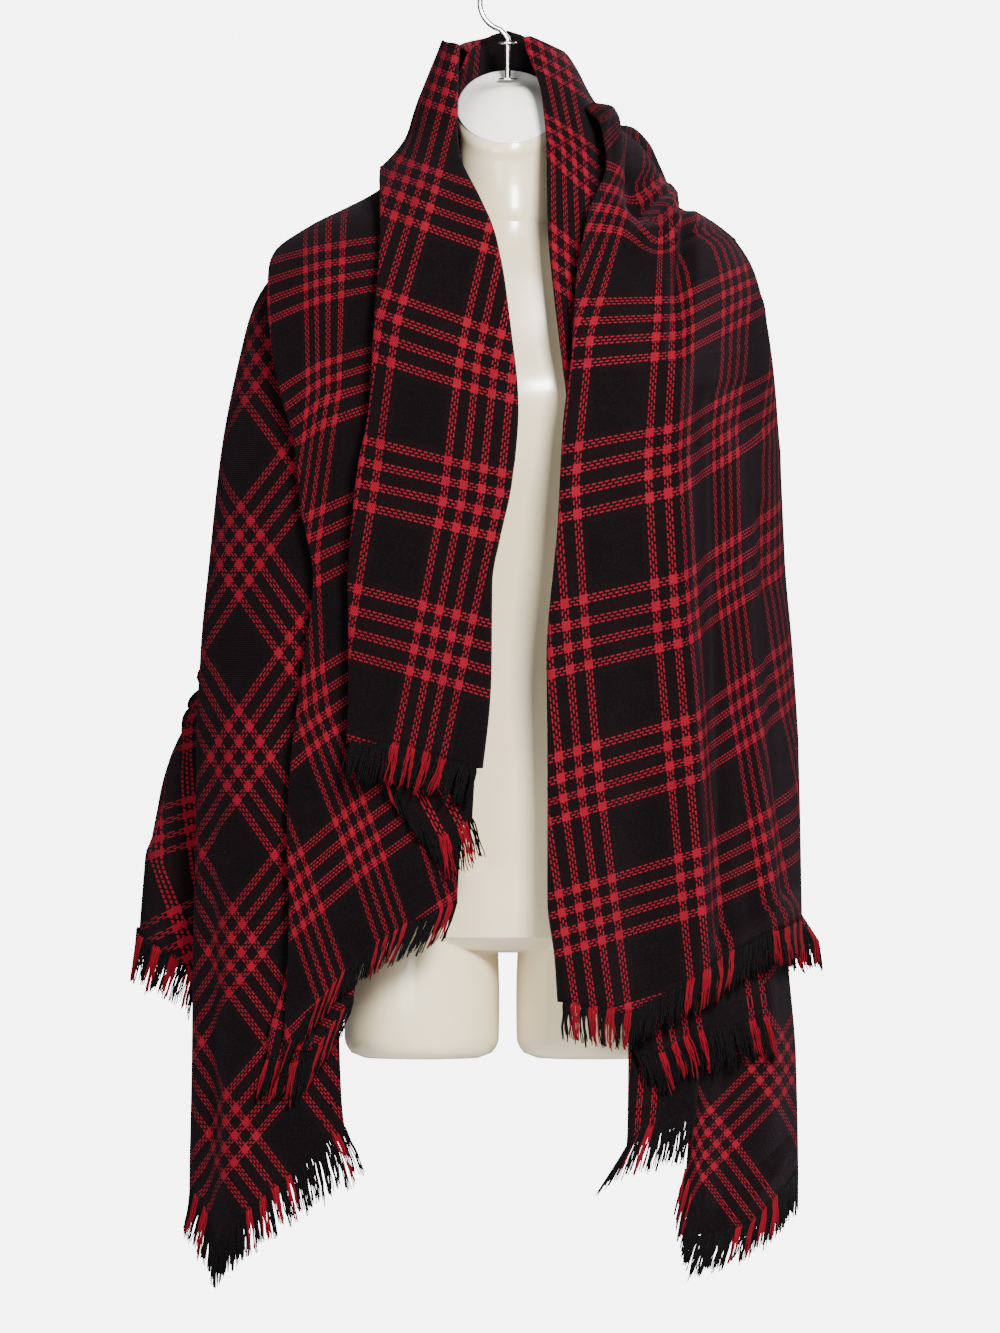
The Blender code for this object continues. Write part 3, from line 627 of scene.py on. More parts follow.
def dent_height(dents, reach, z):
    """Small creases that are a stretch's own: each is soft, and follows a straight line."""
    total = np.zeros(np.shape(z))
    for reach_a, z_a, reach_b, z_b, half, height_a, height_b in dents:
        run = np.array((reach_b - reach_a, z_b - z_a))
        share = ((reach - reach_a) * run[0] + (z - z_a) * run[1]) / run.dot(run)
        share = np.clip(share, 0, 1)
        away = np.hypot(reach - reach_a - run[0] * share, z - z_a - run[1] * share)
        total = total + (height_a + (height_b - height_a) * share) * np.exp(-((away / half) ** 2))
    return total


def roll_steps(radius, under, steps):
    """The way round a rolled edge, from the cloth tucked back under it: shift inwards and sink."""
    if not under:
        return []
    angles = [math.pi * (steps - i) / steps for i in range(steps)]
    tucked = [(under, 2 * radius)] + [(under / 2, 2 * radius)]
    return tucked + [(-radius * math.sin(a), radius * (1 - math.cos(a))) for a in angles]


def columns_of(stretch, count, steps):
    """The columns of a stretch: share across, shift from the edge in metres, and sink below the surface."""
    radius, under_in, under_out = stretch["rolls"]
    inner = [(0.0, shift, sink) for shift, sink in roll_steps(radius, under_in, steps)]
    shares = sorted({i / count for i in range(count + 1)} | set(stretch.get("extra_columns", ())))
    flat = [(share, 0.0, 0.0) for share in shares]
    outer = [(1.0, -shift, sink) for shift, sink in reversed(roll_steps(radius, under_out, steps))]
    return inner + flat + outer


def rows_of(stretch, count, steps):
    """The rows of a stretch: share down, rise above the top in metres, and sink below the surface."""
    radius, under = stretch.get("top_roll", (0.0, 0.0))
    rolled = [(0.0, -shift, sink) for shift, sink in roll_steps(radius, under, steps)]
    inside = []
    if under:
        pieces = max(2, round(under / CELL))
        inside = [(0.0, -under * (1 - i / pieces), 2 * radius) for i in range(pieces)]
        rolled = rolled[2:]
    return inside + rolled + [((i / count) ** TOP_SPACING, 0.0, 0.0) for i in range(count + 1)]


def place(stretch, columns, rows, drop=(0.0, 0.0)):
    """A stretch's points on a grid of columns and rows. With a drop, the rows hang from the hem."""
    share, shift, sink = (np.array(values)[None, :] for values in zip(*columns))
    down, rise, row_sink = (np.array(values)[:, None] for values in zip(*rows))
    top = limit_z(stretch, stretch["top"], share)
    hem = limit_z(stretch, stretch["hem"], share)
    if any(drop):
        z = hem - drop[0] - (drop[1] - drop[0]) * down
    else:
        z = top + (hem - top) * down + rise
    inner, outer, lift_in, lift_out = edge_turns(stretch, z)
    turn = inner + (outer - inner) * share
    lift = lift_in + (lift_out - lift_in) * share
    pace = np.linalg.norm(oval(turn + PROBE, z) - oval(turn - PROBE, z), axis=-1) / (2 * PROBE)
    turn = turn + np.sign(outer - inner) * shift / pace
    lift = lift + dent_height(stretch["dents"], reach_of(turn, z, lift), z) - sink - row_sink
    lift = lift + sum(fold_height(flare, turn, z) for flare in stretch.get("flares", ()))
    return drape_point(turn, z, lift)


def bias_crossings(clusters, half_wide):
    """Crossings of cloth on the bias.

    They come from those that lie one below the other, and from half the width of a diamond.
    """
    places = np.array(clusters)
    count = len(places)
    rows = []
    for row in range(count):
        between_two = (row + np.arange(count)) / 2
        x = np.interp(between_two, np.arange(count), places[:, 0]) + half_wide * (row - np.arange(count))
        z = np.interp(between_two, np.arange(count), places[:, 1])
        rows.append(tuple(zip(x.tolist(), z.tolist())))
    return tuple(rows)


# Where the stripe groups cross on each stretch, as reach and z. A row is one crosswise group, from the top
# down, and its places are the lengthwise groups, from the inner edge out. The cloth between follows evenly.
CROSSINGS = {
    "left_lapel": (
        ((0.020, -0.128), (-0.059, -0.096)),
        ((0.006, -0.230), (-0.086, -0.196)),
        ((-0.019, -0.350), (-0.122, -0.314)),
        ((-0.032, -0.470), (-0.140, -0.446)),
        ((-0.059, -0.601), (-0.160, -0.574)),
    ),
    "left_under": (
        ((-0.176, -0.566), (-0.290, -0.626)),
        ((-0.116, -0.680), (-0.230, -0.740)),
    ),
    "left_front": (
        ((-0.080, -0.256), (-0.166, -0.270), (-0.228, -0.290)),
        ((-0.097, -0.353), (-0.164, -0.374), (-0.221, -0.416)),
        ((-0.115, -0.488), (-0.184, -0.520), (-0.241, -0.551)),
        ((-0.119, -0.625), (-0.175, -0.661), (-0.230, -0.709)),
        ((-0.076, -0.731), (-0.131, -0.772), (-0.187, -0.821)),
        ((-0.040, -0.850), (-0.092, -0.885), (-0.147, -0.934)),
    ),
    "left_inner": (
        ((-0.170, -0.800), (-0.250, -0.770)),
        ((-0.196, -0.915), (-0.276, -0.885)),
    ),
    "left_side": bias_crossings(
        ((-0.234, -0.344), (-0.240, -0.515), (-0.240, -0.701), (-0.2475, -0.876), (-0.253, -1.039)),
        0.0645,
    ),
    "back_drape": (
        ((-0.0645, -0.214), (0.0645, -0.214), (0.1935, -0.214), (0.3225, -0.214)),
        ((-0.0645, -0.343), (0.0645, -0.343), (0.1935, -0.343), (0.3225, -0.343)),
        ((-0.0645, -0.472), (0.0645, -0.472), (0.1935, -0.472), (0.3225, -0.466)),
        ((-0.0645, -0.601), (0.0645, -0.601), (0.1940, -0.598), (0.3350, -0.575)),
        ((-0.0645, -0.730), (0.0645, -0.730), (0.2000, -0.722), (0.3850, -0.670)),
        ((-0.0645, -0.859), (0.0655, -0.859), (0.2100, -0.845), (0.4550, -0.755)),
    ),
    "right_collar": (
        ((0.036, -0.073), (0.112, -0.120)),
        ((0.054, -0.157), (0.125, -0.215)),
        ((0.058, -0.268), (0.132, -0.320)),
        ((0.070, -0.390), (0.145, -0.440)),
    ),
    "right_lapel": (
        ((0.096, -0.205), (0.149, -0.211), (0.204, -0.192)),
        ((0.050, -0.324), (0.155, -0.317), (0.206, -0.290)),
        ((0.034, -0.461), (0.149, -0.434), (0.196, -0.406)),
        ((0.044, -0.596), (0.157, -0.571), (0.202, -0.541)),
        ((0.056, -0.726), (0.168, -0.693), (0.216, -0.660)),
        ((0.072, -0.840), (0.178, -0.809), (0.241, -0.779)),
    ),
    "right_side": (
        ((0.186, -0.282), (0.262, -0.240)),
        ((0.206, -0.400), (0.285, -0.360)),
    ),
    "right_under": (
        ((0.118, -0.730), (0.208, -0.720)),
        ((0.138, -0.855), (0.225, -0.845)),
    ),
    "right_inner": (
        ((0.128, -0.790), (0.040, -0.790)),
        ((0.118, -0.915), (0.030, -0.915)),
    ),
    "right_corner": (
        ((0.130, -0.976), (0.192, -0.911)),
        ((0.190, -1.046), (0.252, -0.981)),
    ),
}

# Where the last stripes lie, in repeats across and down: past them the cloth is plain to its fringe. It is
# read from a plain band this wide, in repeats, and a stretch that isn't named has stripes all the way.
PLAIN_SPAN = 0.16
STRIPES_ALL_THE_WAY = (99.0, 99.0)
LAST_STRIPES = {
    "left_under": (9.0, 1.42),
    "left_front": (9.0, 5.42),
    "left_inner": (9.0, 1.42),
    "left_side": (4.42, 4.42),
    "right_under": (9.0, 1.42),
    "right_inner": (9.0, 1.42),
    "right_corner": (9.0, 1.42),
}

# How far each fringe leans to the right as it falls, for each metre down, at its inner and its outer end, and
# how long it is for the common length.
FRINGE_LEAN = {
    "left_lapel": (0.05, -0.30, 1.10),
    "left_under": (0.50, 0.30, 1.00),
    "left_front": (-0.25, -0.40, 1.00),
    "left_inner": (-0.20, -0.35, 1.10),
    "left_side": (0.45, -0.60, 1.15),
    "back_drape": (0.30, 0.35, 1.10),
    "right_lapel": (-0.22, 0.25, 1.00),
    "right_under": (0.05, 0.20, 1.05),
    "right_inner": (-0.55, -0.10, 1.40),
    "right_corner": (-0.30, 0.10, 1.05),
}

# Creases that only the fine cloth has: the same columns as a stretch's dents.
CREASES = {
    "left_lapel": (
        (-0.070, -0.120, -0.085, -0.260, 0.010, 0.002, 0.003),
        (-0.118, -0.260, -0.128, -0.420, 0.012, -0.001, -0.004),
        (-0.030, -0.330, -0.045, -0.560, 0.014, -0.002, -0.002),
    ),
    "left_front": (
        (-0.190, -0.290, -0.180, -0.470, 0.012, -0.001, -0.003),
        (-0.160, -0.560, -0.185, -0.760, 0.012, 0.003, 0.002),
        (-0.070, -0.780, -0.120, -0.860, 0.014, 0.002, 0.004),
    ),
    "left_side": (
        (-0.200, -0.380, -0.250, -0.620, 0.016, -0.002, -0.004),
        (-0.215, -0.700, -0.180, -1.000, 0.014, 0.003, 0.003),
        (-0.270, -0.700, -0.268, -1.040, 0.010, -0.001, -0.004),
    ),
    "right_collar": (
        (0.060, -0.080, 0.078, -0.240, 0.010, 0.003, 0.002),
    ),
    "right_lapel": (
        (0.160, -0.380, 0.176, -0.860, 0.014, 0.006, 0.013),
        (0.182, -0.380, 0.196, -0.880, 0.011, -0.006, -0.012),
        (0.210, -0.440, 0.234, -0.830, 0.010, 0.005, 0.009),
        (0.226, -0.480, 0.248, -0.820, 0.007, -0.003, -0.007),
        (0.120, -0.500, 0.130, -0.900, 0.022, -0.003, -0.006),
        (0.085, -0.650, 0.090, -0.920, 0.016, 0.003, 0.004),
        (0.104, -0.232, 0.124, -0.256, 0.008, 0.004, 0.009),
        (0.124, -0.256, 0.150, -0.252, 0.008, 0.009, 0.009),
        (0.150, -0.252, 0.166, -0.222, 0.008, 0.009, 0.005),
        (0.130, -0.195, 0.136, -0.232, 0.010, -0.010, -0.014),
        (0.168, -0.225, 0.154, -0.345, 0.007, -0.016, -0.010),
    ),
    "right_side": (
        (0.160, -0.220, 0.200, -0.340, 0.012, -0.002, -0.004),
        (0.190, -0.230, 0.225, -0.330, 0.012, 0.003, 0.002),
    ),
    "right_corner": (
        (0.190, -0.950, 0.185, -1.120, 0.012, -0.002, -0.005),
        (0.240, -0.980, 0.235, -1.100, 0.010, -0.001, -0.004),
    ),
}


# Where the crosswise stripes sag or rise along a fold: the same columns, with the shift in repeats.
SWAYS = {
    "right_lapel": (
        (0.128, -0.180, 0.134, -0.240, 0.020, -0.12, -0.24),
    ),
}


def fine_place(name, columns, rows, drop=(0.0, 0.0)):
    stretch = dict(STRETCHES[name])
    stretch["dents"] = stretch["dents"] + CREASES.get(name, ())
    return place(stretch, columns, rows, drop)


def extend(at, knots, values):
    """Values read along straight runs between knots, and straight on past both ends."""
    i = np.clip(np.searchsorted(knots, at) - 1, 0, len(knots) - 2)
    share = (at - knots[i]) / (knots[i + 1] - knots[i])
    return values[i] + (values[i + 1] - values[i]) * share


def weave_places(crossings, reach, z):
    """How many repeats across and down the cloth each place is, counted from the first crossing."""
    lattice = np.array(crossings)
    rows, lines = lattice.shape[:2]
    at = [extend(-z, -lattice[:, k, 1], lattice[:, k, 0]) for k in range(lines)]
    down = [extend(-z, -lattice[:, k, 1], np.arange(rows, dtype=float)) for k in range(lines)]
    across_count = np.zeros(z.shape)
    down_count = np.zeros(z.shape)
    for k in range(lines - 1):
        share = (reach - at[k]) / (at[k + 1] - at[k])
        here = share > 0 if k else np.full(z.shape, True)
        across_count = np.where(here, k + share, across_count)
        down_count = np.where(here, down[k] + (down[k + 1] - down[k]) * share, down_count)
    return across_count, down_count


def cloth_reach(points, first, last):
    """How far out each column lies, kept growing round a rolled edge and past the side."""
    step = np.diff(points, axis=1)
    length = np.linalg.norm(step, axis=-1)
    facing = np.maximum(np.abs(step[..., 0]), LEAST_FACING * length)
    total = np.concatenate((np.zeros((len(points), 1)), np.cumsum(facing, axis=1)), axis=1)
    side = np.sign(points[len(points) // 2, last, 0] - points[len(points) // 2, first, 0])
    return points[:, first : first + 1, 0] + side * (total - total[:, first : first + 1])


def back_reach(points):
    """How far each column lies from the middle of the back, along the cloth."""
    length = np.linalg.norm(np.diff(points, axis=1), axis=-1)
    total = np.concatenate((np.zeros((len(points), 1)), np.cumsum(length, axis=1)), axis=1)
    middle = np.argmin(np.abs(points[len(points) // 2, :, 0]))
    return total - total[:, middle : middle + 1]


def link(name, mesh, look):
    obj = bpy.data.objects.new(name, mesh)
    obj.data.materials.append(look)
    bpy.context.scene.collection.objects.link(obj)
    return obj


def cloth_grid(name, points, places, look):
    """A cloth wall on a grid of points, with its weave places as a UV map."""
    rows, columns = points.shape[:2]
    mesh = bpy.data.meshes.new(name)
    bm = bmesh.new()
    bmesh.ops.create_grid(bm, x_segments=columns - 1, y_segments=rows - 1, size=0.5)
    layer = bm.loops.layers.uv.new("weave")
    index = {}
    for vert in bm.verts:
        column = round((vert.co.x + 0.5) * (columns - 1))
        row = round((0.5 - vert.co.y) * (rows - 1))
        index[vert] = (places[0][row, column], places[1][row, column])
        vert.co = points[row, column]
    for face in bm.faces:
        for loop in face.loops:
            loop[layer].uv = index[loop.vert]
    bm.to_mesh(mesh)
    bm.free()
    mesh.shade_smooth()
    obj = link(name, mesh, look)
    wall = obj.modifiers.new("wall", "SOLIDIFY")
    wall.thickness = THICKNESS
    wall.offset = 0.0
    return obj


def in_stripe(place):
    """Whether a place in repeats lies in one of a group's four stripes."""
    across = np.abs(((place + 0.5) % 1 - 0.5) * REPEAT)
    aside = np.abs(across % STRIPE_PITCH - STRIPE_PITCH / 2)
    return (across < 2 * STRIPE_PITCH) & (aside < STRIPE_HALF * FRINGE_STRIPE)


def strand_mesh(name, paths, thread, look):
    """Yarn ends as one mesh of thin tubes along paths, each with its thread's colour as an attribute."""
    count, rings = paths.shape[:2]
    angles = 2 * math.pi * np.arange(STRAND_SIDES) / STRAND_SIDES
    taper = np.linspace(1.0, STRAND_TIP, rings)
    circle = np.stack((np.cos(angles), np.sin(angles), np.zeros(STRAND_SIDES)), axis=-1) * STRAND_RADIUS
    verts = paths[:, :, None, :] + circle[None, None] * taper[None, :, None, None]
    corner = np.arange(count * rings * STRAND_SIDES).reshape(count, rings, STRAND_SIDES)
    turned = np.roll(corner, -1, axis=2)
    quads = np.stack((corner[:, :-1], corner[:, 1:], turned[:, 1:], turned[:, :-1]), axis=-1)
    ends = corner[:, -1, ::-1]
    starts = corner[:, 0]
    faces = np.concatenate((quads.reshape(-1, 4), ends.reshape(-1, 4), starts.reshape(-1, 4)))
    mesh = bpy.data.meshes.new(name)
    mesh.from_pydata(verts.reshape(-1, 3).tolist(), [], faces.tolist())
    shade = mesh.attributes.new("thread", "FLOAT", "POINT")
    shade.data.foreach_set("value", np.repeat(thread, rings * STRAND_SIDES).astype(np.float32))
    mesh.shade_smooth()
    return link(name, mesh, look)


def hem_line(name):
    """Shares along a stretch's hem, how far along it each lies, and its place in the weave there."""
    shares = np.linspace(0, 1, RIM_STEPS + 1)
    columns = [(share, 0.0, 0.0) for share in shares]
    rim = fine_place(name, columns, [(0.0, 0.0, 0.0)], (RIM_DROP, RIM_DROP))[0]
    run = np.concatenate(([0.0], np.cumsum(np.linalg.norm(np.diff(rim, axis=0), axis=1))))
    hem = fine_place(name, columns, [(1.0, 0.0, 0.0)])
    across, down = weave_of(name, hem, 0, RIM_STEPS)
    return shares, run, across[0], down[0]


def level_of(way):
    """The level directions of some ways, one metre long."""
    level = way * (1.0, 1.0, 0.0)
    return level / np.linalg.norm(level, axis=1, keepdims=True)


def bundled_lengths(bundles, rng):
    """How long each yarn end is: each has its own length, and each bundle keeps its own share of it."""
    first_wave, second_wave = BUNDLE_LENGTH_WAVES
    wave = BUNDLE_LENGTH_SPREAD * np.sin(bundles * first_wave) * np.sin(bundles * second_wave)
    return FRINGE_LENGTH * rng.uniform(SHORTEST_STRAND, 1.0, len(bundles)) * (BUNDLE_LENGTH + wave)


def fringe_of(name, looks, rng):
    """Yarn ends that hang from a stretch's hem, gathered in small bundles."""
    shares, run, across, down_cloth = hem_line(name)
    count = int(run[-1] / STRAND_PITCH)
    spots = (np.arange(count) + rng.uniform(*STRAND_PLAY, count)) / count * run[-1]
    share = np.interp(spots, run, shares)
    bundle = rng.uniform(*BUNDLE_WIDTH)
    bundles = np.floor(spots / bundle)
    lean_in, lean_out, longer = FRINGE_LEAN[name]
    lengths = bundled_lengths(bundles, rng) * longer
    rows = [(i / (STRAND_RINGS - 1), 0.0, 0.0) for i in range(STRAND_RINGS)]
    columns = [(s, 0.0, 0.0) for s in share]
    hang = fine_place(name, columns, rows, (-FRINGE_OVERLAP, FRINGE_LENGTH)).transpose(1, 0, 2)
    root = hang[:, :1]
    hang = root + (hang - root) * (lengths / FRINGE_LENGTH)[:, None, None]
    down = np.linspace(0, 1, STRAND_RINGS)[None, :]

    # Every end leans level, but gathers and strays along its own hem.
    out = np.gradient(root[:, 0], axis=0)
    out /= np.linalg.norm(out, axis=1, keepdims=True)
    lean = (lean_in + (lean_out - lean_in) * share) * lengths * np.sign(out[len(out) // 2, 0])
    hang = hang + level_of(out)[:, None, :] * (lean[:, None] * down)[..., None]
    middle = (bundles + 0.5) * bundle + BUNDLE_ASIDE * np.sin(bundles * BUNDLE_WAVE)
    gather = (middle - spots) * rng.uniform(*BUNDLE_DRAW, count)
    sway = sum(np.sin(spots * pace + start) * width for pace, start, width in SWAYS_ALONG)
    stray = sway + rng.normal(0, STRAY_ALONG, count)
    shift = gather[:, None] * down**DRAW_BEND + stray[:, None] * down**SWAY_BEND
    curl_pace = rng.uniform(*CURL_PACE, count)[:, None]
    curl_start = rng.uniform(*FULL_TURN, count)[:, None]
    shift = shift + CURL * np.sin(down * curl_pace + curl_start)
    hang = hang + out[:, None, :] * shift[..., None]
    hang[..., 1] += rng.normal(0, STRAY_OUT, count)[:, None] * (STRAY_AT_HEM + down)
    bow_start = rng.uniform(*FULL_TURN, count)[:, None]
    hang[..., 1] += BOW * np.sin(down * BOW_PACE + bow_start) * down

    # A fringe takes the stripes that its hem cuts across.
    u = np.interp(share, shares, across)
    v = np.interp(share, shares, down_cloth)
    across_cut = np.abs(np.gradient(u)) > np.abs(np.gradient(v))
    thread = np.where(across_cut, in_stripe(u), in_stripe(v)).astype(float)
    return strand_mesh("yarn_" + name, hang, thread, looks["yarn"])


def kept_plain(count, last):
    """The count of repeats, turned back and forth in the plain cloth that comes after the last stripe."""
    past = PLAIN_SPAN - np.abs((count - last) % (2 * PLAIN_SPAN) - PLAIN_SPAN)
    return np.where(count > last, last + past, count)


def weave_of(name, points, first, last):
    """A grid's places in the weave, in repeats across and down. Its open columns run from first to last."""
    reach = back_reach(points) if name == "back_drape" else cloth_reach(points, first, last)
    height = cloth_height(points)
    across, down = weave_places(CROSSINGS[name], reach, height)
    down = down + dent_height(SWAYS.get(name, ()), reach, height)
    last_across, last_down = LAST_STRIPES.get(name, STRIPES_ALL_THE_WAY)
    return kept_plain(across, last_across), kept_plain(down, last_down)


def cloth_stretch(name, looks):
    stretch = STRETCHES[name]
    draft_columns = columns_of(stretch, DRAFT_CELLS, DRAFT_ROLL_STEPS)
    draft_rows = rows_of(stretch, DRAFT_CELLS, DRAFT_ROLL_STEPS)
    wide, long = cloth_size(fine_place(name, draft_columns, draft_rows))
    columns = columns_of(stretch, max(FEWEST_CELLS, round(wide / CELL)), ROLL_STEPS)
    rows = rows_of(stretch, max(FEWEST_CELLS, round(long / CELL)), ROLL_STEPS)
    points = fine_place(name, columns, rows)
    flat = [i for i, column in enumerate(columns) if not column[1] and not column[2]]
    places = weave_of(name, points, flat[0], flat[-1])
    return cloth_grid("scarf_" + name, points, places, looks["cloth"]), points


def cloth_size(points):
    """How wide and how long a grid of points is, along its middle lines."""
    middle_row = points[len(points) // 2]
    middle_column = points[:, points.shape[1] // 2]
    return tuple(np.linalg.norm(np.diff(line, axis=0), axis=1).sum() for line in (middle_row, middle_column))


def cloth_height(points):
    """Heights, but going on upwards over a rolled top edge and down its far side."""
    z = points[..., 2].copy()
    top = np.argmax(z, axis=0)
    for column, peak in enumerate(top):
        z[:peak, column] = 2 * z[peak, column] - z[:peak, column]
    return z


def grid_sizes(points):
    """The widest row, the longest column and the area of a grid of points."""
    across = np.linalg.norm(np.diff(points, axis=1), axis=-1)
    down = np.linalg.norm(np.diff(points, axis=0), axis=-1)
    one = points[1:, 1:] - points[:-1, :-1]
    other = points[:-1, 1:] - points[1:, :-1]
    area = 0.5 * np.linalg.norm(np.cross(one, other), axis=-1).sum()
    return across.sum(axis=1).max(), down.sum(axis=0).max(), area


def value_of(tree, operation, *inputs):
    """A Math node's result from numbers or other nodes' outputs."""
    node = tree.nodes.new("ShaderNodeMath")
    node.operation = operation
    for socket, given in zip(node.inputs, inputs):
        if isinstance(given, (int, float)):
            socket.default_value = given
        else:
            tree.links.new(given, socket)
    return node.outputs[0]


def mixed(tree, share, first, second, blend="MIX"):
    """Two colours mixed by a share."""
    node = tree.nodes.new("ShaderNodeMix")
    node.data_type = "RGBA"
    node.blend_type = blend
    for socket, given in zip((node.inputs[0], node.inputs[6], node.inputs[7]), (share, first, second)):
        if isinstance(given, (int, float, tuple)):
            socket.default_value = given
        else:
            tree.links.new(given, socket)
    return node.outputs[2]


def noise(tree, place, scale, detail=2.0):
    node = tree.nodes.new("ShaderNodeTexNoise")
    node.inputs["Scale"].default_value = scale
    node.inputs["Detail"].default_value = detail
    tree.links.new(place, node.inputs["Vector"])
    return node.outputs["Fac"]


def effect(name, inputs, outputs):
    """A new shader node group, with its input and output nodes.

    Each socket is a name and a type: every material gives its own values.
    """
    tree = bpy.data.node_groups.new(name, "ShaderNodeTree")
    for label, kind in inputs:
        tree.interface.new_socket(label, in_out="INPUT", socket_type=kind)
    for label, kind in outputs:
        tree.interface.new_socket(label, in_out="OUTPUT", socket_type=kind)
    return tree, tree.nodes.new("NodeGroupInput"), tree.nodes.new("NodeGroupOutput")


def lengthways(tree, along):
    """How far a place is from its nearest stripe's middle, with its side, and whether it lies in a group."""
    repeat = value_of(tree, "WRAP", along, REPEAT / 2, -REPEAT / 2)
    from_middle = value_of(tree, "ABSOLUTE", repeat)
    in_group = value_of(tree, "LESS_THAN", from_middle, 2 * STRIPE_PITCH)
    in_pitch = value_of(tree, "FLOORED_MODULO", from_middle, STRIPE_PITCH)
    return value_of(tree, "SUBTRACT", in_pitch, STRIPE_PITCH / 2), in_group


def plaid_weave():
    """The check: four narrow red stripes to a group, both ways, in staggered floats on black."""
    tree, start, end = effect(
        "plaid weave",
        (
            ("Weave", "NodeSocketVector"),
            ("Red", "NodeSocketColor"),
            ("Black", "NodeSocketColor"),
            ("Ground in Group", "NodeSocketColor"),
        ),
        (("Color", "NodeSocketColor"), ("Height", "NodeSocketFloat")),
    )
    split = tree.nodes.new("ShaderNodeSeparateXYZ")
    tree.links.new(start.outputs["Weave"], split.inputs[0])
    ways = [value_of(tree, "MULTIPLY", split.outputs[i], REPEAT) for i in (0, 1)]
    read = [lengthways(tree, way) for way in ways]
    stripes = []
    floats = []
    for (aside, in_group), along in zip(read, reversed(ways)):
        near = value_of(tree, "LESS_THAN", value_of(tree, "ABSOLUTE", aside), STRIPE_HALF)
        stripe = value_of(tree, "MULTIPLY", near, in_group)
        row = value_of(tree, "DIVIDE", value_of(tree, "ADD", aside, STRIPE_HALF), FLOAT_PITCH)
        in_row = value_of(tree, "FRACT", row)
        step = value_of(tree, "DIVIDE", along, FLOAT_REPEAT)
        shifted = value_of(tree, "MULTIPLY_ADD", value_of(tree, "FLOOR", row), FLOAT_STAGGER, step)
        slanted = value_of(tree, "MULTIPLY_ADD", in_row, FLOAT_SLANT, shifted)
        on_top = value_of(tree, "LESS_THAN", value_of(tree, "FRACT", slanted), FLOAT_SHARE)
        from_middle = value_of(tree, "ABSOLUTE", value_of(tree, "SUBTRACT", in_row, 0.5))
        body = value_of(tree, "LESS_THAN", from_middle, YARN_WIDTH / 2)
        stripes.append(stripe)
        floats.append(value_of(tree, "MULTIPLY", stripe, value_of(tree, "MULTIPLY", on_top, body)))
    crossing = value_of(tree, "MULTIPLY", *stripes)
    red = value_of(tree, "MAXIMUM", value_of(tree, "MAXIMUM", *floats), crossing)
    grouped = value_of(tree, "MAXIMUM", read[0][1], read[1][1])
    ground = mixed(tree, grouped, start.outputs["Black"], start.outputs["Ground in Group"])
    colour = mixed(tree, red, ground, start.outputs["Red"])
    twill = value_of(tree, "ADD", *ways)
    ridge = value_of(tree, "SINE", value_of(tree, "MULTIPLY", twill, math.pi / YARN_PITCH))
    across = value_of(tree, "SINE", value_of(tree, "MULTIPLY", ways[0], 2 * math.pi / YARN_PITCH))
    twill_height = value_of(tree, "MULTIPLY", ridge, TWILL_RISE)
    ground_height = value_of(tree, "MULTIPLY_ADD", across, YARN_RISE, twill_height)
    height = value_of(tree, "MULTIPLY_ADD", red, RED_RISE, ground_height)
    tree.links.new(colour, end.inputs["Color"])
    tree.links.new(height, end.inputs["Height"])
    return tree


def wool_nap():
    """The yarn's own unevenness and lint: a colour made a little lighter and darker, and a fine height."""
    tree, start, end = effect(
        "wool nap",
        (
            ("Place", "NodeSocketVector"),
            ("Color", "NodeSocketColor"),
            ("Lint", "NodeSocketColor"),
            ("Lint Share", "NodeSocketFloat"),
        ),
        (("Color", "NodeSocketColor"), ("Height", "NodeSocketFloat")),
    )
    fine = noise(tree, start.outputs["Place"], FLUFF_SCALE)
    broad = noise(tree, start.outputs["Place"], PATCH_SCALE, detail=3.0)
    speck = value_of(tree, "POWER", fine, LINT_SHARPNESS)
    share = value_of(tree, "MULTIPLY", speck, start.outputs["Lint Share"])
    linted = mixed(tree, share, start.outputs["Color"], start.outputs["Lint"])
    shade = value_of(tree, "MULTIPLY_ADD", broad, PATCH_SPREAD, PATCH_DARKEST)
    grey = tree.nodes.new("ShaderNodeCombineColor")
    for socket in grey.inputs[:3]:
        tree.links.new(shade, socket)
    colour = mixed(tree, 1.0, linted, grey.outputs[0], "MULTIPLY")
    tree.links.new(colour, end.inputs["Color"])
    tree.links.new(fine, end.inputs["Height"])
    return tree


def principled(name, **settings):
    """A new material and its shader, with constant values on the shader's own sockets."""
    look = bpy.data.materials.new(name)
    look.use_nodes = True
    shader = look.node_tree.nodes["Principled BSDF"]
    for label, given in settings.items():
        shader.inputs[label.replace("_", " ")].default_value = given
    return look, look.node_tree, shader


def placed(tree, group):
    node = tree.nodes.new("ShaderNodeGroup")
    node.node_tree = group
    return node


def bumped(tree, shader, height, distance, strength=1.0):
    bump = tree.nodes.new("ShaderNodeBump")
    bump.inputs["Distance"].default_value = distance
    bump.inputs["Strength"].default_value = strength
    tree.links.new(height, bump.inputs["Height"])
    tree.links.new(bump.outputs["Normal"], shader.inputs["Normal"])


def object_place(tree):
    return tree.nodes.new("ShaderNodeTexCoord").outputs["Object"]


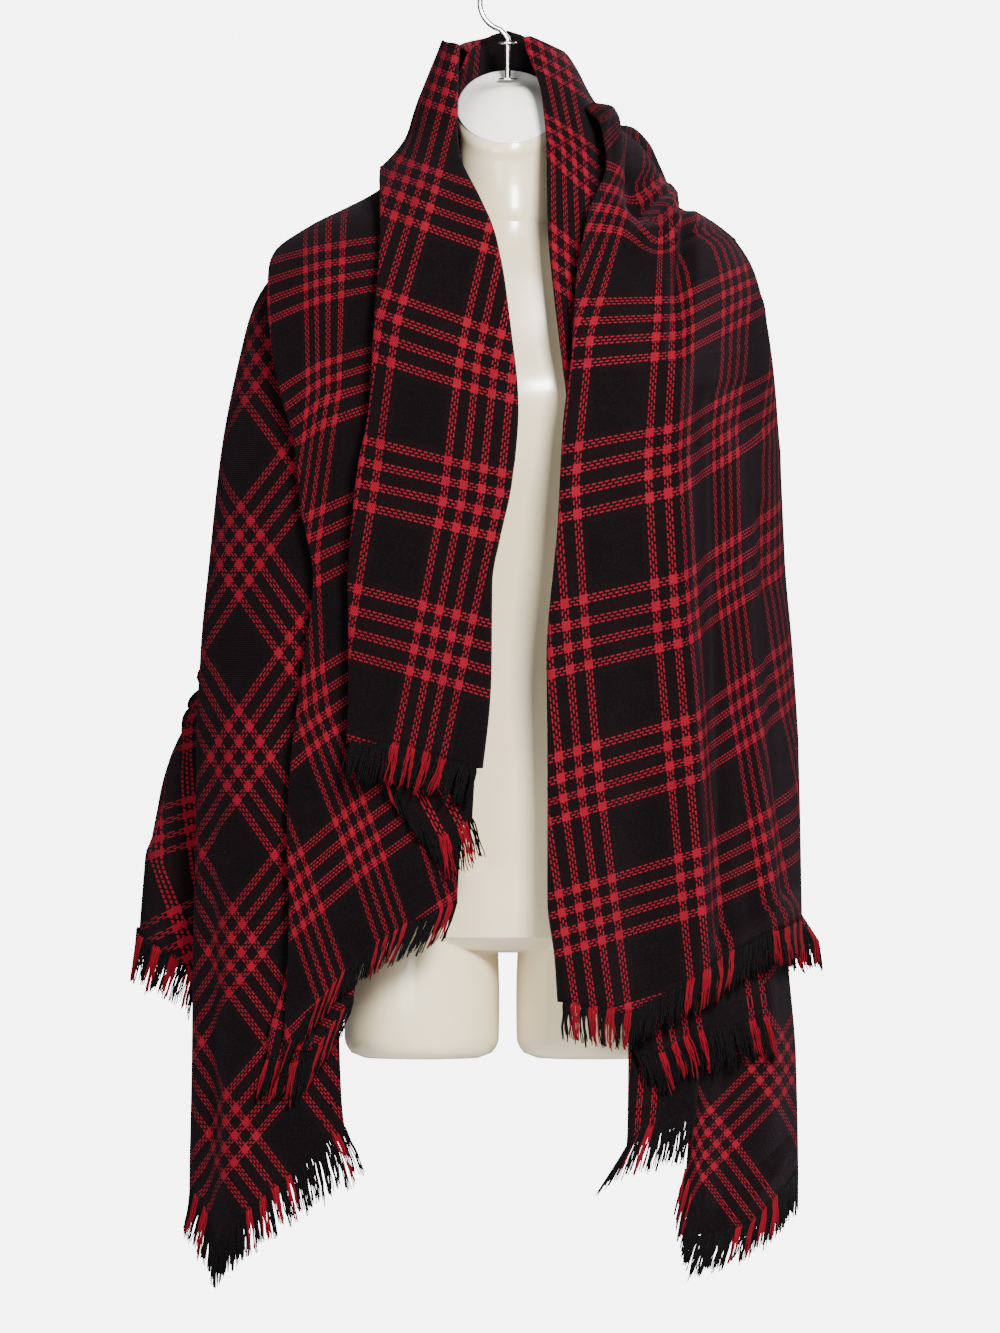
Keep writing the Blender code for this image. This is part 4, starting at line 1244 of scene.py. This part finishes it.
def cloth_look(weave, nap):
    look, tree, shader = principled(
        "plaid wool",
        Roughness=0.95,
        Sheen_Weight=0.022,
        Sheen_Roughness=0.5,
        Sheen_Tint=(0.90, 0.62, 0.80, 1.0),
        Specular_IOR_Level=0.02,
    )
    uv = tree.nodes.new("ShaderNodeUVMap")
    uv.uv_map = "weave"
    check = placed(tree, weave)
    check.inputs["Red"].default_value = RED
    check.inputs["Black"].default_value = BLACK
    check.inputs["Ground in Group"].default_value = GROUP_GROUND
    tree.links.new(uv.outputs["UV"], check.inputs["Weave"])
    fuzz = placed(tree, nap)
    fuzz.inputs["Lint"].default_value = LINT
    fuzz.inputs["Lint Share"].default_value = CLOTH_LINT
    tree.links.new(object_place(tree), fuzz.inputs["Place"])
    tree.links.new(check.outputs["Color"], fuzz.inputs["Color"])
    tree.links.new(fuzz.outputs["Color"], shader.inputs["Base Color"])
    height = value_of(tree, "MULTIPLY_ADD", fuzz.outputs["Height"], FLUFF_RISE, check.outputs["Height"])
    bumped(tree, shader, height, WEAVE_BUMP, WEAVE_BUMP_STRENGTH)
    return look


def yarn_look(nap):
    look, tree, shader = principled(
        "fringe yarn",
        Roughness=0.9,
        Sheen_Weight=0.012,
        Sheen_Roughness=0.5,
        Specular_IOR_Level=0.02,
    )
    thread = tree.nodes.new("ShaderNodeAttribute")
    thread.attribute_name = "thread"
    colour = mixed(tree, thread.outputs["Fac"], FRINGE_BLACK, FRINGE_RED)
    fuzz = placed(tree, nap)
    fuzz.inputs["Lint"].default_value = LINT
    fuzz.inputs["Lint Share"].default_value = FRINGE_LINT
    tree.links.new(object_place(tree), fuzz.inputs["Place"])
    tree.links.new(colour, fuzz.inputs["Color"])
    tree.links.new(fuzz.outputs["Color"], shader.inputs["Base Color"])
    bumped(tree, shader, fuzz.outputs["Height"], FRINGE_BUMP)
    return look


def plastic_look(name, colour, roughness):
    look, tree, shader = principled(name, Roughness=roughness, Coat_Weight=0.35, Coat_Roughness=0.12)
    soft = noise(tree, object_place(tree), scale=14.0, detail=3.0)
    darker = tuple(part * PLASTIC_PATCH for part in colour[:3]) + (1.0,)
    tree.links.new(mixed(tree, soft, colour, darker), shader.inputs["Base Color"])
    return look


def metal_look():
    look, tree, shader = principled("polished steel", Base_Color=STEEL, Metallic=1.0)
    marks = noise(tree, object_place(tree), scale=300.0, detail=3.0)
    smoothest = 0.12
    tree.links.new(value_of(tree, "MULTIPLY_ADD", marks, 0.2, smoothest), shader.inputs["Roughness"])
    return look


def floor_look():
    look, tree, shader = principled("pale floor", Roughness=0.9, Specular_IOR_Level=0.1)
    soft = noise(tree, object_place(tree), scale=0.6)
    tree.links.new(mixed(tree, soft, FLOOR_DARK, FLOOR_LIGHT), shader.inputs["Base Color"])
    return look


def ring(middle, half_wide, front, back, lean=0.0, sides=FORM_SIDES):
    """A level oval, or one that leans: its back stands higher than its front."""
    points = []
    for i in range(sides):
        angle = 2 * math.pi * i / sides
        x = half_wide * math.sin(angle)
        y = -math.cos(angle) * (front if math.cos(angle) > 0 else back)
        points.append((middle[0] + x, middle[1] + y, middle[2] + lean * y))
    return points


def loft(name, sections, look):
    """A closed body through sections, each a list of points at the same angles."""
    sides = len(sections[0])
    bm = bmesh.new()
    rings = []
    for section in sections:
        verts = [bm.verts.new(point) for point in section]
        rings.append([bm.edges.new((verts[i], verts[(i + 1) % sides])) for i in range(sides)])
    for upper, lower in zip(rings, rings[1:]):
        bmesh.ops.bridge_loops(bm, edges=upper + lower)
    bmesh.ops.holes_fill(bm, edges=bm.edges, sides=sides)
    bmesh.ops.recalc_face_normals(bm, faces=bm.faces)
    mesh = bpy.data.meshes.new(name)
    bm.to_mesh(mesh)
    bm.free()
    mesh.shade_smooth()
    mesh.set_sharp_from_angle(angle=math.radians(SHARP_ANGLE))
    return link(name, mesh, look)


def smooth_rings(table, count, middle=(0.0, 0.0)):
    depths = np.linspace(table[0][0], table[-1][0], count)
    sizes = read_smooth(table, depths)
    return [ring((*middle, z), *size) for z, size in zip(depths, sizes.T)]


def between(rows, steps):
    """Extra rows between the given ones, on smooth curves from row to row."""
    points = np.array(rows, float)
    made = []
    for at in np.linspace(0, len(points) - 1, (len(points) - 1) * steps + 1):
        i = min(int(at), len(points) - 2)
        f = at - i
        slope_a = (points[i + 1] - points[max(i - 1, 0)]) / 2
        slope_b = (points[min(i + 2, len(points) - 1)] - points[i]) / 2
        a = points[i] * (1 + 2 * f) * (1 - f) ** 2 + slope_a * f * (1 - f) ** 2
        b = points[i + 1] * f * f * (3 - 2 * f) + slope_b * f * f * (f - 1)
        made.append((a + b).tolist())
    return made


def leaning_body(name, rows, steps, look):
    """A round body through rings of a middle y, a height, a radius and a lean."""
    rings = [ring((0, y, z), radius, radius, radius, lean) for y, z, radius, lean in between(rows, steps)]
    return loft(name, rings, look)


def dress_form(looks):
    neck = leaning_body("form_neck", NECK_COLUMN, NECK_STEPS, looks["form"])
    cap = leaning_body("form_neck_cap", NECK_CAP, CAP_STEPS, looks["cap"])
    base = [ring((0, 0, z), wide, front, back) for z, wide, front, back in TORSO[-1:]]
    torso = loft("form_torso", smooth_rings(TORSO[:-1], TORSO_RINGS) + base, looks["form"])
    for side in (-1, 1):
        rings = smooth_rings(STUB, STUB_RINGS, (side * STUB_OFFSET, STUB_BACK))
        stub = loft("thigh stub", rings, looks["form"])
        union = torso.modifiers.new("thigh", "BOOLEAN")
        union.operation = "UNION"
        union.object = stub
        graph = bpy.context.evaluated_depsgraph_get()
        joined = bpy.data.meshes.new_from_object(torso.evaluated_get(graph))
        torso.modifiers.clear()
        torso.data = joined
        bpy.data.objects.remove(stub)
    return neck, cap, torso


def turned(name, outline, look, sides=TURNED_SIDES):
    """A solid turned about the upright axis from its outline of radius and height, top to bottom."""
    return loft(name, [ring((0, 0, z), radius, radius, radius, sides=sides) for radius, z in outline], look)


def washer(name, low, look):
    outline = (
        (WASHER_RADIUS - WASHER_EDGE, low + WASHER_THICK),
        (WASHER_RADIUS, low + WASHER_THICK - WASHER_EDGE),
        (WASHER_RADIUS, low + WASHER_EDGE),
        (WASHER_RADIUS - WASHER_EDGE, low),
    )
    return turned(name, outline, look)


def hook(look):
    curve = bpy.data.curves.new("hook_wire", "CURVE")
    curve.dimensions = "3D"
    curve.bevel_depth = WIRE_RADIUS
    curve.bevel_resolution = WIRE_ROUNDNESS
    curve.use_fill_caps = True
    start = PIN_TOP + WASHER_THICK + SEAM_GAP
    points = [(x, 0, start + rise) for x, rise in HOOK_SHANK]
    for i in range(HOOK_POINTS):
        angle = math.radians(HOOK_START + (HOOK_END - HOOK_START) * i / (HOOK_POINTS - 1))
        z = WIRE_RADIUS - HOOK_RADIUS + HOOK_RADIUS * math.cos(angle)
        points.append((HOOK_RADIUS * math.sin(angle), 0, z))
    spline = curve.splines.new("POLY")
    spline.points.add(len(points) - 1)
    for point, co in zip(spline.points, points):
        point.co = (*co, 1)
    obj = bpy.data.objects.new("form_hook", curve)
    curve.materials.append(look)
    bpy.context.scene.collection.objects.link(obj)
    return obj


def declare(piece, slot, *nodes):
    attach(piece, "root")
    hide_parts(*nodes)


def scarf(looks):
    rng = np.random.default_rng(7)
    made = {}
    for name in STRETCHES:
        made[name] = cloth_stretch(name, looks)
    for name, (piece, points) in made.items():
        declare(piece, "plaid_cloth", name)
        if not STRETCHES[name].get("no_fringe"):
            yarn = fringe_of(name, looks, rng)
            declare(yarn, "plaid_fringe", name + "_fringe")
        wide, long, area = grid_sizes(points)
        area = min(area, wide * long)


def stand(looks):
    neck, cap, torso = dress_form(looks)
    for piece in (neck, cap, torso):
        declare(piece, "form_plastic", "dress_form")
    declare(washer("form_base_washer", BASE_WASHER_Z, looks["metal"]), "hanger_metal", "base_washer")
    declare(washer("form_pin_washer", PIN_TOP, looks["metal"]), "hanger_metal", "pin_washer")
    pin_ends = (PIN_TOP + PIN_INTO_TOP, BASE_WASHER_Z + PIN_INTO_BASE)
    pin = turned("form_pin", [(PIN_RADIUS, z) for z in pin_ends], looks["metal"])
    declare(pin, "hanger_metal", "hanger_pin")
    declare(hook(looks["metal"]), "hanger_metal", "swan_neck_hook")


def lamp(name, place_at, aim, size, power):
    light = bpy.data.lights.new(name, "AREA")
    light.shape = "RECTANGLE"
    light.size, light.size_y = size
    light.energy = power
    obj = bpy.data.objects.new(name, light)
    obj.location = place_at
    direction = np.array(aim, float) - np.array(place_at, float)
    obj.rotation_euler = (
        math.atan2(math.hypot(direction[0], direction[1]), -direction[2]),
        0.0,
        math.atan2(direction[1], direction[0]) - math.pi / 2,
    )
    bpy.context.scene.collection.objects.link(obj)


def studio():
    look = floor_look()
    mesh = bpy.data.meshes.new("studio floor")
    bm = bmesh.new()
    bmesh.ops.create_circle(bm, cap_ends=True, segments=FLOOR_SIDES, radius=FLOOR_RADIUS)
    bm.to_mesh(mesh)
    bm.free()
    floor = link("studio floor", mesh, look)
    floor.location = (0, 0, FLOOR_Z)
    world = bpy.data.worlds.new("studio")
    world.use_nodes = True
    air = world.node_tree
    room = air.nodes["Background"]
    room.inputs["Color"].default_value = ROOM
    room.inputs["Strength"].default_value = ROOM_STRENGTH
    backdrop = air.nodes.new("ShaderNodeBackground")
    backdrop.inputs["Strength"].default_value = BACKDROP_STRENGTH
    seen = air.nodes.new("ShaderNodeLightPath")
    both = air.nodes.new("ShaderNodeMixShader")
    air.links.new(seen.outputs["Is Camera Ray"], both.inputs[0])
    air.links.new(room.outputs[0], both.inputs[1])
    air.links.new(backdrop.outputs[0], both.inputs[2])
    air.links.new(both.outputs[0], air.nodes["World Output"].inputs["Surface"])
    bpy.context.scene.world = world
    for name, place_at, aim, size, power in LAMPS:
        lamp(name, place_at, aim, size, power)
    lens = bpy.data.cameras.new("view")
    lens.lens = FILM_WIDTH * VIEW_DISTANCE / VIEW_HEIGHT
    lens.clip_end = VIEW_END
    camera = bpy.data.objects.new("view", lens)
    camera.location = (VIEW_CENTRE[0], -VIEW_DISTANCE, VIEW_CENTRE[1])
    camera.rotation_euler = (math.pi / 2, 0, 0)
    bpy.context.scene.collection.objects.link(camera)
    bpy.context.scene.camera = camera


def main():
    nap = wool_nap()
    looks = {
        "cloth": cloth_look(plaid_weave(), nap),
        "yarn": yarn_look(nap),
        "form": plastic_look("form plastic", FORM_CREAM, 0.28),
        # The cap takes a lighter copy of the form's cream, a painted highlight.
        "cap": plastic_look("cap plastic with painted highlight", CAP_CREAM_PAINTED_HIGHLIGHT, 0.25),
        "metal": metal_look(),
    }
    scarf(looks)
    stand(looks)
    studio()


main()
